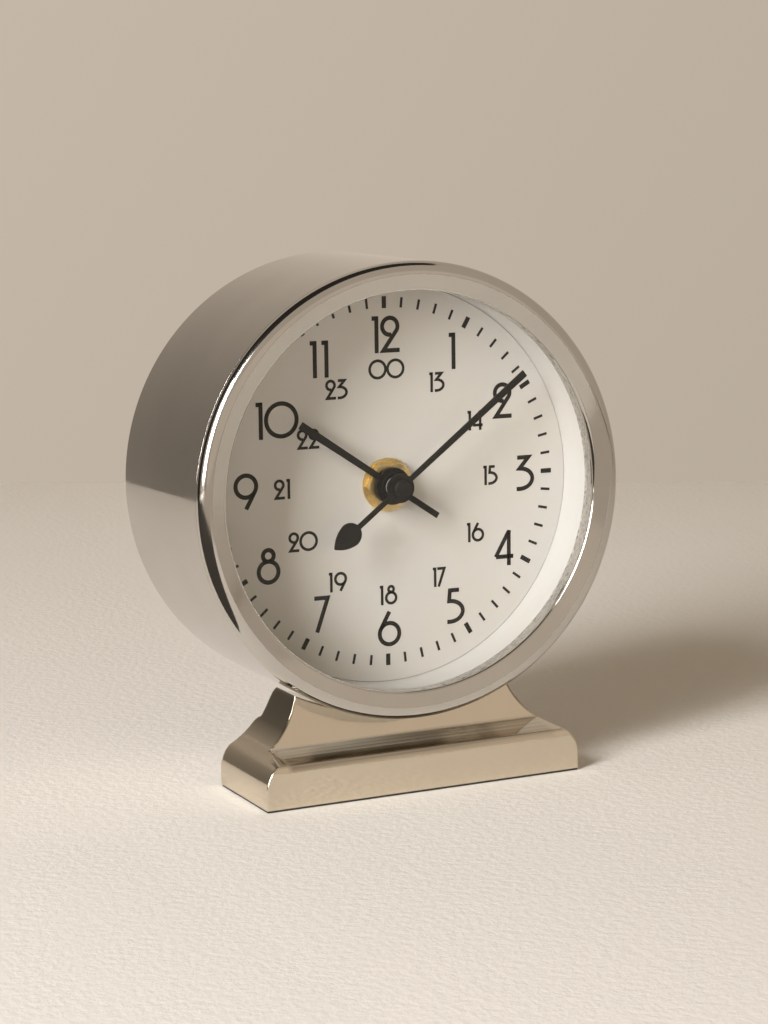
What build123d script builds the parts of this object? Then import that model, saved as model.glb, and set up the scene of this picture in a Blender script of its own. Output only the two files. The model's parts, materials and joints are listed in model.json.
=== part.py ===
from build123d import *
import math
import os

# A drum desk clock on a stepped pedestal, in millimetres. +Z is up and the dial faces -Y.
# The origin is the centre of the pedestal's underside.
# Pieces of the drum are drawn in the face frame: x to the reader's right, y up and z towards
# the reader, from the centre of the dial's front face. The face frame is placed at the end.

os.makedirs("parts", exist_ok=True)

# Drum
drum_diameter = 114.0
drum_wall = 0.9
drum_ahead_of_dial = 15.07
drum_behind_dial = 36.0

# Bezel ring and glass
bezel_width = 7.25
bezel_round = 3.3
bezel_rise = 2.8
bezel_shoulder = 0.15
bezel_dish = 0.8
bezel_sheet = 0.85
lip_round = 1.0
lip_depth = 2.65
skirt_length = 5.9
glass_thickness = 2.2
glass_margin = 1.8

# White ring between the glass and the dial, and the dial plate that lies in it
rehaut_setback = 0.75
rehaut_wall = 0.8
rehaut_flange_width = 3.5
rehaut_flange_thickness = 0.8
rehaut_grip = 4.8
dial_thickness = 1.0

# Back cover, its lugs and screws
cover_thickness = 1.6
cover_recess = 2.4
cover_rim_length = 4.0
cover_rim_wall = 1.6
lug_count = 3
lug_width = 10.0
lug_height = 9.0
lug_length = 6.0
cover_screw_radius = 1.4
cover_screw_length = 6.0
cover_head_radius = 2.8
cover_head_height = 1.8

# Pedestal, with heights from its underside: the ends sweep up from the toe over the heel and the waist,
# and the front goes from the brow over a ledge to the foot of the block's face
pad_thickness = 0.5
pad_inset = 0.15
plinth_width = 85.8
plinth_depth = 31.0
side_height = 3.95
toe_inset = 2.5
toe_height = 10.0
heel_inset = 6.4
heel_height = 12.5
waist_inset = 10.65
waist_height = 17.0
block_top_width = 57.6
block_height = 24.9
front_height = 7.35
brow_inset = 0.9
brow_height = 10.7
ledge_rise = 1.1
foot_setback = 11.6
face_setback = 14.5
face_hollow = 0.3
back_setback = 2.05
back_round = 4.8
shoulder_height = 16.7
saddle_height = 17.6
saddle_relief = 7.5
drum_front_overhang = 11.28

# Pedestal screws, set in from inside the drum
foot_screw_count = 2
foot_screw_spread = 26.0
foot_screw_radius = 2.0
foot_screw_length = 11.0
foot_head_radius = 3.4
foot_head_height = 2.2
foot_washer_radius = 4.2
foot_washer_thickness = 0.8

# Hands and the stack on the dial
washer_radius = 6.8
washer_thickness = 0.6
nut_across_flats = 11.0
nut_height = 2.0
bush_radius = 4.0
bush_proud = 0.15
bush_flange_radius = 6.0
gasket_radius = 9.0
gasket_thickness = 0.6
hand_thickness = 0.45
hour_boss_radius = 4.7
hour_collet_radius = 3.4
hour_collet_height = 1.9
hour_hand_length = 30.0
hour_hand_tail = 14.9
hour_width_at_hub = 1.55
hour_width_at_tip = 2.0
hour_hand_angle = 304.9
minute_boss_radius = 3.7
minute_collet_radius = 2.6
minute_collet_height = 2.7
minute_hand_length = 44.2
minute_width_at_hub = 1.35
minute_width_at_tip = 1.85
minute_hand_angle = 53.1
tail_width = 1.35
spade_neck = 14.5
spade_tip = 23.0
spade_half_width = 3.1
spade_belly = 0.62
cap_radius = 2.25
cap_height = 1.75
cap_round = 0.35

# Arbors and pipes
second_arbor_radius = 0.5
minute_arbor_radius = 1.6
hour_pipe_radius = 2.5
wheel_arbor_radius = 0.45
post_radius = 0.8
setting_shaft_radius = 1.2
pivot_depth = 0.6

# Wheel train: tooth counts, modules and the directions from axis to axis
cannon_teeth = 12
minute_wheel_teeth = 36
minute_pinion_teeth = 10
hour_wheel_teeth = 40
setting_teeth = 18
centre_teeth = 64
third_pinion_teeth = 8
third_teeth = 60
second_pinion_teeth = 8
second_teeth = 60
intermediate_pinion_teeth = 12
intermediate_teeth = 48
rotor_teeth = 8
motion_module = 0.40
train_module = 0.32
rotor_module = 0.30
minute_wheel_direction = -20.0
setting_direction = 30.0
third_direction = 70.0
intermediate_direction = 160.0
rotor_direction = 120.0
wheel_thickness = 0.9
layer_gap = 0.5
tip_height = 0.75
root_depth = 1.15
tip_share = 0.09
root_share = 0.27

# Movement case, coil and board
plate_thickness = 1.2
case_wall = 1.2
case_corner = 2.0
inner_room = 0.5
magnet_radius = 3.0
magnet_length = 2.4
stator_gap = 0.4
stator_width = 1.6
stator_arm = 2.5
coil_length = 12.5
coil_radius = 3.25
barrel_radius = 1.9
flange_thickness = 0.7
core_width = 2.4
core_thickness = 1.0
board_width = 15.0
board_height = 14.0
board_thickness = 0.8
chip_side = 5.0
chip_height = 1.2
crystal_radius = 1.0
crystal_length = 6.2

# Battery, its bay and contacts
battery_diameter = 14.5
battery_length = 50.5
battery_nub_radius = 2.75
battery_nub_length = 1.3
battery_proud = 4.0
bay_play = 0.3
contact_room = 1.0
contact_sheet = 0.35
contact_width = 8.0
contact_dimple_radius = 2.0

# Setting knob
knob_radius = 6.0
knob_height = 4.0
knob_grooves = 20
knob_groove_radius = 0.45

# Clearances
seat_gap = 0.02
press_gap = 0.01
running_gap = 0.05
slip_gap = 0.1
free_gap = 0.3

FULL_TURN = 2 * math.pi
QUARTER_TURN = 90
CENTRE_LOW = (Align.CENTER, Align.CENTER, Align.MIN)


def polar(degrees, distance, start=(0.0, 0.0)):
    """Point at a distance from a start, in a direction counted from +x towards +y."""
    angle = math.radians(degrees)
    return (start[0] + distance * math.cos(angle), start[1] + distance * math.sin(angle))


def rod(radius, low, high, at=(0.0, 0.0)):
    """Round bar along z."""
    return Pos(at[0], at[1], low) * Cylinder(radius, high - low, align=CENTRE_LOW)


def tube(bore, radius, low, high, at=(0.0, 0.0)):
    """Round ring along z."""
    return rod(radius, low, high, at) - rod(bore, low, high, at)


def block(x_low, x_high, y_low, y_high, z_low, z_high):
    """Box between two corners."""
    size = Box(x_high - x_low, y_high - y_low, z_high - z_low, align=(Align.MIN, Align.MIN, Align.MIN))
    return Pos(x_low, y_low, z_low) * size


def turned(edges):
    """Solid turned about z from edges drawn as radius and height."""
    return revolve(Plane.XZ * make_face(edges), Axis.Z)


def polygon_prism(points, low, high):
    """Straight-sided solid along z from the points of its outline."""
    return Pos(0, 0, low) * extrude(make_face(Polyline(*points, close=True)), high - low, dir=(0, 0, 1))


def pitch_distance(module, teeth, other_teeth):
    """Distance between the axes of two wheels in mesh."""
    return module * (teeth + other_teeth) / 2


def tip_radius(module, teeth):
    """Outer radius of a wheel."""
    return module * (teeth / 2 + tip_height)


def mesh_phase(teeth, phase, other_teeth, degrees):
    """Turn of a wheel that puts its teeth in the gaps of its neighbour, in a given direction from it."""
    direction = math.radians(degrees)
    return direction + math.pi - teeth / other_teeth * (phase - direction) - math.pi / other_teeth


def gear(teeth, module, phase, low, high, at=(0.0, 0.0)):
    """Toothed wheel with straight flanks."""
    root = module * (teeth / 2 - root_depth)
    tip = tip_radius(module, teeth)
    step = FULL_TURN / teeth
    points = []
    for tooth in range(teeth):
        for radius, share in ((root, -root_share), (tip, -tip_share), (tip, tip_share), (root, root_share)):
            angle = phase + (tooth + share) * step
            points.append((at[0] + radius * math.cos(angle), at[1] + radius * math.sin(angle)))
    return polygon_prism(points, low, high)


# Places along the face axis, from the dial forwards
drum_radius = drum_diameter / 2
drum_bore = drum_radius - drum_wall
opening_radius = drum_radius - bezel_width
bezel_base = drum_ahead_of_dial + seat_gap
crown_radius = drum_radius - bezel_round
crown_height = bezel_base + bezel_shoulder + bezel_rise
lip_height = crown_height - bezel_dish
glass_front = lip_height - lip_round - lip_depth - seat_gap
glass_back = glass_front - glass_thickness
glass_radius = opening_radius + glass_margin
rebate_radius = glass_radius + slip_gap
rehaut_bore = opening_radius + rehaut_setback
rehaut_radius = rehaut_bore + rehaut_wall
rehaut_front = glass_back - seat_gap
rehaut_back = -dial_thickness - seat_gap - rehaut_flange_thickness
nut_low = washer_thickness + 2 * seat_gap
bush_front = nut_low + nut_height + bush_proud
hour_collet_low = bush_front + free_gap
hour_hand_low = hour_collet_low + hand_thickness
pipe_front = hour_collet_low + hour_collet_height
minute_collet_low = pipe_front + free_gap
minute_hand_low = minute_collet_low + minute_collet_height + seat_gap
cap_low = minute_hand_low + hand_thickness + seat_gap
arbor_front = cap_low + cap_height / 2

# Places along the face axis, from the dial backwards
plate_front = -dial_thickness - gasket_thickness - 2 * seat_gap
plate_back = plate_front - plate_thickness


def layer(number):
    """Back and front of one layer of wheels, counted from the front plate."""
    front = plate_back - layer_gap - number * (wheel_thickness + layer_gap)
    return (front - wheel_thickness, front)


HOUR_LAYER, MINUTE_LAYER, CENTRE_LAYER, THIRD_LAYER, SECOND_LAYER, ROTOR_LAYER = (layer(n) for n in range(6))
train_back = ROTOR_LAYER[0] - layer_gap
train_case_back = train_back - case_wall

# Wheel axes in the face frame
hour_module = motion_module * (cannon_teeth + minute_wheel_teeth) / (minute_pinion_teeth + hour_wheel_teeth)
second_module = train_module * (centre_teeth + third_pinion_teeth) / (third_teeth + second_pinion_teeth)
minute_wheel_axis = polar(
    minute_wheel_direction, pitch_distance(motion_module, cannon_teeth, minute_wheel_teeth)
)
setting_axis = polar(
    setting_direction, pitch_distance(motion_module, minute_wheel_teeth, setting_teeth), minute_wheel_axis
)
third_axis = polar(third_direction, pitch_distance(train_module, centre_teeth, third_pinion_teeth))
intermediate_axis = polar(
    intermediate_direction, pitch_distance(train_module, second_teeth, intermediate_pinion_teeth)
)
rotor_axis = polar(
    rotor_direction, pitch_distance(rotor_module, intermediate_teeth, rotor_teeth), intermediate_axis
)

# Turn of each wheel at rest, so that every pair is in mesh
cannon_phase = 0.0
minute_wheel_phase = mesh_phase(cannon_teeth, cannon_phase, minute_wheel_teeth, minute_wheel_direction)
minute_pinion_phase = 0.0
hour_wheel_phase = mesh_phase(
    minute_pinion_teeth, minute_pinion_phase, hour_wheel_teeth, minute_wheel_direction + 180
)
setting_phase = mesh_phase(minute_wheel_teeth, minute_wheel_phase, setting_teeth, setting_direction)
rotor_phase = 0.0
intermediate_phase = mesh_phase(rotor_teeth, rotor_phase, intermediate_teeth, rotor_direction + 180)
intermediate_pinion_phase = 0.0
second_phase = mesh_phase(
    intermediate_pinion_teeth, intermediate_pinion_phase, second_teeth, intermediate_direction + 180
)
second_pinion_phase = 0.0
third_phase = mesh_phase(second_pinion_teeth, second_pinion_phase, third_teeth, third_direction)
third_pinion_phase = 0.0
centre_phase = mesh_phase(third_pinion_teeth, third_pinion_phase, centre_teeth, third_direction + 180)

# Coil, stator, board and the room inside the movement
stator_bore = magnet_radius + stator_gap
stator_radius = stator_bore + stator_width
stator_back, stator_front = CENTRE_LAYER
core_front = stator_back - seat_gap
core_back = core_front - core_thickness
coil_middle = (core_front + core_back) / 2
coil_x = intermediate_axis[0] - tip_radius(rotor_module, intermediate_teeth) - inner_room - coil_radius
coil_top = rotor_axis[1] - stator_radius - inner_room
coil_bottom = coil_top - coil_length
board_left = third_axis[0] + tip_radius(second_module, third_teeth) - inner_room
board_bottom = setting_axis[1] + tip_radius(motion_module, setting_teeth) + inner_room
board_right = board_left + board_width
board_top = board_bottom + board_height
room_left = coil_x - coil_radius - inner_room
room_right = max(board_right, setting_axis[0] + knob_radius) + inner_room
room_top = max(board_top, third_axis[1] + tip_radius(second_module, third_teeth)) + inner_room
room_bottom = -max(tip_radius(train_module, centre_teeth), stator_arm - coil_bottom) - inner_room

# Battery bay below the train
battery_radius = battery_diameter / 2
bay_top = room_bottom - case_wall
bay_bottom = bay_top - battery_diameter - 2 * bay_play
bay_half = battery_length / 2 + contact_room
battery_y = (bay_top + bay_bottom) / 2
bay_front = plate_back - case_wall
battery_z = bay_front - bay_play - battery_radius
bay_back = battery_z - battery_radius + battery_proud
case_left = min(room_left, -bay_half) - case_wall
case_right = max(room_right, bay_half) + case_wall
case_top = room_top + case_wall
case_bottom = bay_bottom - case_wall
case_middle = ((case_left + case_right) / 2, (case_bottom + case_top) / 2)

# Back cover places
drum_back = -drum_behind_dial
cover_back = drum_back + cover_recess
cover_front = cover_back + cover_thickness
cover_radius = drum_bore - slip_gap
cover_opening = math.hypot(battery_length / 2, battery_radius - battery_y) + 4 * free_gap
lug_front = cover_front + seat_gap + lug_length
lug_middle = drum_bore - lug_height / 2
lug_directions = [90 + turn * 360 / lug_count for turn in range(lug_count)]

# Pedestal places: heights from the table upwards, then depths from the front backwards
plinth_low = pad_thickness + seat_gap
front_top = plinth_low + front_height
brow_top = plinth_low + brow_height
foot_top = brow_top + ledge_rise
block_top = plinth_low + block_height
shoulder_top = plinth_low + shoulder_height
saddle_low = plinth_low + saddle_height
saddle_radius = drum_radius + saddle_relief
axis_height = saddle_low + seat_gap + drum_radius
dial_y = drum_ahead_of_dial - drum_front_overhang
front_y = -plinth_depth / 2
brow_y = front_y + brow_inset
foot_y = front_y + foot_setback
face_y = front_y + face_setback
rear_y = plinth_depth / 2
back_y = rear_y - back_setback

# Pedestal screws: directions around the drum and their place along it
foot_angles = [-90 + (n - (foot_screw_count - 1) / 2) * foot_screw_spread for n in range(foot_screw_count)]
foot_z = dial_y - (face_y + back_y) / 2


def radial(piece, degrees, distance, along):
    """Turns a piece drawn up its own z so that it points outwards from the drum's axis."""
    place = polar(degrees, distance)
    return Pos(place[0], place[1], along) * Rot(0, 0, degrees) * Rot(0, 90, 0) * piece


def at_clock_angle(piece, degrees):
    """Turns a piece drawn upwards to an angle counted clockwise from twelve."""
    return Rot(0, 0, -degrees) * piece


# Drum with the holes of the pedestal screws
def case_drum():
    body = tube(drum_bore, drum_radius, drum_back, drum_ahead_of_dial)
    for degrees in foot_angles:
        hole = Cylinder(foot_screw_radius + slip_gap, 4 * drum_wall)
        body -= radial(hole, degrees, drum_radius, foot_z)
    return body


# Pressed ring that closes the front: round edge, dished face, lip, glass rebate and skirt
def bezel_ring():
    skirt_radius = drum_bore - slip_gap
    skirt_back = bezel_base - skirt_length
    rebate_wall = rebate_radius + bezel_sheet
    wall_back = rehaut_front - rehaut_grip
    cavity_front = bezel_base
    lip_mid = lip_round * (1 - math.sqrt(0.5))
    edges = Polyline(
        (opening_radius, lip_height - lip_round),
        (opening_radius, glass_front + seat_gap),
        (rebate_radius, glass_front + seat_gap),
        (rebate_radius, wall_back),
        (rebate_wall, wall_back),
        (rebate_wall, cavity_front),
        (skirt_radius - bezel_sheet, cavity_front),
        (skirt_radius - bezel_sheet, skirt_back),
        (skirt_radius, skirt_back),
        (skirt_radius, bezel_base),
        (drum_radius, bezel_base),
        (drum_radius, bezel_base + bezel_shoulder),
    )
    edges += EllipticalCenterArc(
        (crown_radius, crown_height - bezel_rise), bezel_round, bezel_rise, 0, arc_size=QUARTER_TURN
    )
    edges += Line((crown_radius, crown_height), (opening_radius + lip_round, lip_height))
    edges += ThreePointArc(
        (opening_radius + lip_round, lip_height),
        (opening_radius + lip_mid, lip_height - lip_mid),
        (opening_radius, lip_height - lip_round),
    )
    return turned(edges)


def lens_glass():
    return rod(glass_radius, glass_back, glass_front)


# White cup-shaped ring: a collar held in the bezel, a wall, and a flange that the dial lies on
def rehaut_ring():
    collar = rebate_radius - running_gap
    collar_back = rehaut_front - rehaut_grip
    flange_bore = rehaut_bore - rehaut_flange_width
    points = (
        (flange_bore, rehaut_back),
        (rehaut_radius, rehaut_back),
        (rehaut_radius, collar_back),
        (collar, collar_back),
        (collar, rehaut_front),
        (rehaut_bore, rehaut_front),
        (rehaut_bore, rehaut_back + rehaut_flange_thickness),
        (flange_bore, rehaut_back + rehaut_flange_thickness),
    )
    return turned(Polyline(*points, close=True))


def dial_plate():
    return tube(bush_radius + slip_gap, rehaut_bore - slip_gap, -dial_thickness, 0)


# Moulded cover with a round opening that the battery and the knob are reached through
def back_cover():
    cover = tube(cover_opening, cover_radius, cover_back, cover_front)
    rim = tube(cover_opening, cover_opening + cover_rim_wall, cover_front, cover_front + cover_rim_length)
    cover += rim
    for degrees in lug_directions:
        cover -= rod(cover_screw_radius + slip_gap, cover_back, cover_front, polar(degrees, lug_middle))
    return cover


# Lugs inside the drum that the cover's screws bite into
def cover_lugs():
    inner = drum_bore - lug_height
    ring = tube(inner, drum_bore - seat_gap, cover_front + seat_gap, lug_front)
    half = lug_width / 2
    lugs = []
    for degrees in lug_directions:
        sector = block(0, drum_bore, -half, half, cover_front, lug_front + seat_gap)
        lug = ring & (Rot(0, 0, degrees) * sector)
        hole = rod(cover_screw_radius + press_gap, cover_back, lug_front, polar(degrees, lug_middle))
        lugs.append(lug - hole)
    return Compound(children=lugs)


def back_cover_screws():
    screws = []
    for degrees in lug_directions:
        place = polar(degrees, lug_middle)
        head_front = cover_back - seat_gap
        shank = rod(cover_screw_radius, head_front, head_front + cover_screw_length, place)
        head = rod(cover_head_radius, head_front - cover_head_height, head_front, place)
        edge = head.edges().group_by(Axis.Z)[0]
        head = fillet(edge, cover_head_height / 2)
        slot_cut = 2 * cover_head_height / 3
        slot = Box(cover_screw_radius / 2, cover_head_radius, slot_cut)
        slot += Box(cover_head_radius, cover_screw_radius / 2, slot_cut)
        screws.append(shank + head - Pos(place[0], place[1], head_front - cover_head_height) * slot)
    return Compound(children=screws)


# Pedestal seen from the front: rounded plinth ends that sweep up to the block's top
def pedestal_ends():
    half = plinth_width / 2
    top = block_top_width / 2
    edges = Line((-half, plinth_low), (half, plinth_low))
    edges += Line((-top, block_top), (top, block_top))
    for side in (1, -1):
        edge = (side * half, plinth_low + side_height)
        toe = (side * (half - toe_inset), plinth_low + toe_height)
        heel = (side * (half - heel_inset), plinth_low + heel_height)
        waist = (side * (half - waist_inset), plinth_low + waist_height)
        edges += Line((side * half, plinth_low), edge)
        edges += TangentArc(edge, toe, tangent=(0, 1))
        edges += Spline(toe, heel, waist, (side * top, block_top))
    return extrude(Plane.XZ * make_face(edges), plinth_depth, both=True)


# Pedestal seen from the side: brow, ledge, hollow face, rounded back corner and the shoulder behind it
def pedestal_sides():
    edges = Polyline((rear_y, plinth_low), (front_y, plinth_low), (front_y, front_top))
    edges += EllipticalCenterArc(
        (brow_y, front_top), brow_inset, brow_top - front_top, QUARTER_TURN, arc_size=QUARTER_TURN
    )
    edges += Line((brow_y, brow_top), (foot_y, foot_top))
    edges += SagittaArc((foot_y, foot_top), (face_y, block_top), -face_hollow)
    edges += Line((face_y, block_top), (back_y - back_round, block_top))
    edges += RadiusArc((back_y, block_top - back_round), (back_y - back_round, block_top), -back_round)
    edges += Line((back_y, block_top - back_round), (back_y, shoulder_top))
    edges += RadiusArc((rear_y, shoulder_top - back_setback), (back_y, shoulder_top), -back_setback)
    edges += Line((rear_y, shoulder_top - back_setback), (rear_y, plinth_low))
    return extrude(Plane.YZ * make_face(edges), plinth_width, both=True)


# Cast pedestal, hollowed on top for the drum
def pedestal():
    body = pedestal_ends() & pedestal_sides()
    saddle = Cylinder(saddle_radius, 2 * plinth_depth, rotation=(90, 0, 0))
    body -= Pos(0, 0, saddle_low + saddle_radius) * saddle
    for degrees in foot_angles:
        hole = Cylinder(foot_screw_radius + press_gap, 2 * foot_screw_length)
        body -= HEAD * radial(hole, degrees, drum_radius, foot_z)
    return body


def pedestal_pad():
    width = plinth_width - 2 * pad_inset
    depth = plinth_depth - 2 * pad_inset
    return Box(width, depth, pad_thickness, align=CENTRE_LOW)


# Washer bent to the drum's wall, cut from a ring between two radii
def foot_washer(degrees):
    outer = drum_bore - seat_gap
    low, high = foot_z - foot_washer_radius, foot_z + foot_washer_radius
    wall = tube(outer - foot_washer_thickness, outer, low, high)
    disc = radial(Cylinder(foot_washer_radius, drum_radius / 2), degrees, drum_radius, foot_z)
    hole = radial(Cylinder(foot_screw_radius + slip_gap, drum_radius), degrees, drum_radius, foot_z)
    return (wall & disc) - hole


def pedestal_washers():
    return Compound(children=[foot_washer(degrees) for degrees in foot_angles])


def pedestal_screws():
    screws = []
    for degrees in foot_angles:
        seat = drum_bore - foot_washer_thickness - foot_washer_radius**2 / (2 * drum_bore) - 2 * seat_gap
        shank = Cylinder(foot_screw_radius, foot_screw_length, align=CENTRE_LOW)
        head = Pos(0, 0, -foot_head_height) * Cylinder(foot_head_radius, foot_head_height, align=CENTRE_LOW)
        head = fillet(head.edges().group_by(Axis.Z)[0], foot_head_height / 2)
        screws.append(radial(shank + head, degrees, seat, foot_z))
    return Compound(children=screws)


# Stack that clamps the movement to the dial
def threaded_bush():
    bush = rod(bush_flange_radius, plate_back, plate_front - seat_gap)
    bush += rod(bush_radius, plate_back, bush_front)
    return bush - rod(hour_pipe_radius + running_gap, plate_back, bush_front)


def rubber_gasket():
    return tube(bush_radius + slip_gap, gasket_radius, plate_front + seat_gap, -dial_thickness - seat_gap)


def brass_washer():
    return tube(bush_radius + slip_gap, washer_radius, seat_gap, seat_gap + washer_thickness)


def hex_nut():
    corner = nut_across_flats / 2 / math.cos(math.pi / 6)
    hexagon = Pos(0, 0, nut_low) * extrude(RegularPolygon(corner, 6), nut_height)
    turned_blank = rod(corner, nut_low, nut_low + nut_height)
    blank = chamfer(turned_blank.edges().group_by(Axis.Z)[-1], corner - nut_across_flats / 2, nut_height / 5)
    return (hexagon & blank) - rod(bush_radius + press_gap, nut_low, nut_low + nut_height)


# Hour wheel, with the pipe that carries the hour hand
def hour_wheel():
    wheel = gear(hour_wheel_teeth, hour_module, hour_wheel_phase, *HOUR_LAYER)
    wheel += rod(hour_pipe_radius, HOUR_LAYER[0], pipe_front)
    return wheel - rod(minute_arbor_radius + running_gap, HOUR_LAYER[0], pipe_front)


def hour_collet():
    bore = hour_pipe_radius + press_gap
    flange_top = hour_hand_low - seat_gap
    return tube(bore, hour_collet_radius, hour_collet_low, pipe_front) + tube(
        bore, hour_boss_radius - free_gap, hour_collet_low, flange_top
    )


# Flat blade that widens towards a square tip, drawn upwards
def blade(length, hub_width, tip_width, low):
    half_hub = hub_width / 2
    half_tip = tip_width / 2
    points = ((-half_hub, 0), (half_hub, 0), (half_tip, length), (-half_tip, length))
    return polygon_prism(points, low, low + hand_thickness)


def hour_hand():
    low, high = hour_hand_low, hour_hand_low + hand_thickness
    tail = block(-hour_width_at_hub / 2, hour_width_at_hub / 2, -hour_hand_tail, 0, low, high)
    hand = blade(hour_hand_length, hour_width_at_hub, hour_width_at_tip, low) + tail
    hand += rod(hour_boss_radius, low, high)
    return at_clock_angle(hand - rod(hour_collet_radius + press_gap, low, high), hour_hand_angle)


# Leaf-shaped counterweight below the hub, its point outwards
def spade(low, high):
    neck_half = tail_width / 2
    shoulder = spade_neck + spade_half_width
    edges = Line((-neck_half, -spade_neck), (neck_half, -spade_neck))
    for side in (1, -1):
        widest = (side * spade_half_width, -shoulder)
        edges += TangentArc(widest, (side * neck_half, -spade_neck), tangent=(0, 1))
        edges += SagittaArc(widest, (0, -spade_tip), side * spade_belly)
    return Pos(0, 0, low) * extrude(make_face(edges), high - low, dir=(0, 0, 1))


def minute_hand():
    low, high = minute_hand_low, minute_hand_low + hand_thickness
    tail = block(-tail_width / 2, tail_width / 2, -spade_neck, 0, low, high)
    hand = blade(minute_hand_length, minute_width_at_hub, minute_width_at_tip, low) + tail + spade(low, high)
    hand += rod(minute_boss_radius, low, high)
    return at_clock_angle(hand - rod(minute_arbor_radius + press_gap, low, high), minute_hand_angle)


def minute_collet():
    bore = minute_arbor_radius + press_gap
    top = minute_hand_low - seat_gap
    flange = tube(bore, minute_boss_radius - free_gap, top - hand_thickness, top)
    return tube(bore, minute_collet_radius, minute_collet_low, top) + flange


def hand_cap():
    cap = rod(cap_radius, cap_low, cap_low + cap_height)
    cap = fillet(cap.edges().group_by(Axis.Z)[-1], cap_round)
    return cap - rod(minute_arbor_radius + press_gap, cap_low, arbor_front + seat_gap)


# Hollow minute arbor with the cannon pinion; the seconds arbor runs inside it
def minute_arbor():
    back = CENTRE_LAYER[0] - layer_gap / 2
    arbor = rod(minute_arbor_radius, back, arbor_front)
    arbor += gear(cannon_teeth, motion_module, cannon_phase, *MINUTE_LAYER)
    return arbor - rod(second_arbor_radius + running_gap, back, arbor_front)


# Minute wheel on the post of the front plate, its pinion drives the hour wheel
def minute_wheel():
    wheel = gear(minute_wheel_teeth, motion_module, minute_wheel_phase, *MINUTE_LAYER, minute_wheel_axis)
    wheel += gear(
        minute_pinion_teeth,
        hour_module,
        minute_pinion_phase,
        MINUTE_LAYER[1],
        HOUR_LAYER[1],
        minute_wheel_axis,
    )
    return wheel - rod(post_radius + running_gap, MINUTE_LAYER[0], HOUR_LAYER[1], minute_wheel_axis)


def setting_shaft():
    end = train_case_back - free_gap - knob_height / 2
    shaft = rod(setting_shaft_radius, end, plate_back + pivot_depth, setting_axis)
    return shaft + gear(setting_teeth, motion_module, setting_phase, *MINUTE_LAYER, setting_axis)


def setting_knob():
    front = train_case_back - free_gap
    back = front - knob_height
    knob = rod(knob_radius, back, front, setting_axis)
    for groove in range(knob_grooves):
        place = polar(groove * 360 / knob_grooves, knob_radius, setting_axis)
        knob -= rod(knob_groove_radius, back, front, place)
    socket_end = front - knob_height / 2 - seat_gap
    return knob - rod(setting_shaft_radius + press_gap, socket_end, front, setting_axis)


# Arbor that runs from the front plate to the back of the case
def train_arbor(axis):
    return rod(wheel_arbor_radius, train_back - pivot_depth, plate_back + pivot_depth, axis)


def centre_wheel():
    wheel = gear(centre_teeth, train_module, centre_phase, *CENTRE_LAYER)
    return wheel - rod(minute_arbor_radius + running_gap, *CENTRE_LAYER)


def third_wheel():
    wheel = train_arbor(third_axis)
    wheel += gear(third_teeth, second_module, third_phase, *THIRD_LAYER, third_axis)
    return wheel + gear(
        third_pinion_teeth, train_module, third_pinion_phase, THIRD_LAYER[1], CENTRE_LAYER[1], third_axis
    )


def second_wheel():
    wheel = rod(second_arbor_radius, train_back - pivot_depth, arbor_front - free_gap)
    wheel += gear(second_teeth, train_module, second_phase, *SECOND_LAYER)
    return wheel + gear(
        second_pinion_teeth, second_module, second_pinion_phase, SECOND_LAYER[1], THIRD_LAYER[1]
    )


def intermediate_wheel():
    wheel = train_arbor(intermediate_axis)
    wheel += gear(intermediate_teeth, rotor_module, intermediate_phase, *ROTOR_LAYER, intermediate_axis)
    return wheel + gear(
        intermediate_pinion_teeth,
        train_module,
        intermediate_pinion_phase,
        ROTOR_LAYER[1],
        SECOND_LAYER[1],
        intermediate_axis,
    )


def rotor_pinion():
    return train_arbor(rotor_axis) + gear(rotor_teeth, rotor_module, rotor_phase, *ROTOR_LAYER, rotor_axis)


def rotor_magnet():
    middle = (stator_back + stator_front) / 2
    low, high = middle - magnet_length / 2, middle + magnet_length / 2
    return tube(wheel_arbor_radius + press_gap, magnet_radius, low, high, rotor_axis)


# Stator lamination: an eye around the rotor and two arms to the ends of the coil's core
def stator():
    outer_x = coil_x - core_width / 2
    arm_x = rotor_axis[0]
    top_low = coil_top + seat_gap
    bottom_high = coil_bottom - seat_gap
    bottom_low = bottom_high - stator_arm
    half = stator_arm / 2
    plate = rod(stator_radius, stator_back, stator_front, rotor_axis)
    plate += block(outer_x, arm_x, top_low, top_low + stator_arm, stator_back, stator_front)
    plate += block(outer_x, arm_x + half, bottom_low, bottom_high, stator_back, stator_front)
    plate += block(arm_x - half, arm_x + half, bottom_low, rotor_axis[1], stator_back, stator_front)
    return plate - rod(stator_bore, stator_back, stator_front, rotor_axis)


def coil_core():
    half = core_width / 2
    low = coil_bottom - stator_arm
    high = coil_top + stator_arm
    return block(coil_x - half, coil_x + half, low, high, core_back, core_front)


# Round bar along y, for the parts of the coil
def coil_bar(radius, low, high):
    bar = Cylinder(radius, high - low, rotation=(90, 0, 0))
    return Pos(coil_x, (low + high) / 2, coil_middle) * bar


def coil_bobbin():
    spool = coil_bar(barrel_radius, coil_bottom, coil_top)
    spool += coil_bar(coil_radius, coil_bottom, coil_bottom + flange_thickness)
    spool += coil_bar(coil_radius, coil_top - flange_thickness, coil_top)
    half = core_width / 2 + press_gap
    slot = block(
        coil_x - half, coil_x + half, coil_bottom, coil_top, core_back - press_gap, core_front + press_gap
    )
    return spool - slot


def coil_winding():
    low = coil_bottom + flange_thickness + seat_gap
    high = coil_top - flange_thickness - seat_gap
    return coil_bar(coil_radius - slip_gap, low, high) - coil_bar(barrel_radius + seat_gap, low, high)


# Circuit board behind the front plate, with the chip and the crystal on its back
board_front = plate_back - seat_gap
board_back = board_front - board_thickness
parts_front = board_back - seat_gap


def circuit_board():
    return block(board_left, board_right, board_bottom, board_top, board_back, board_front)


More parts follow.
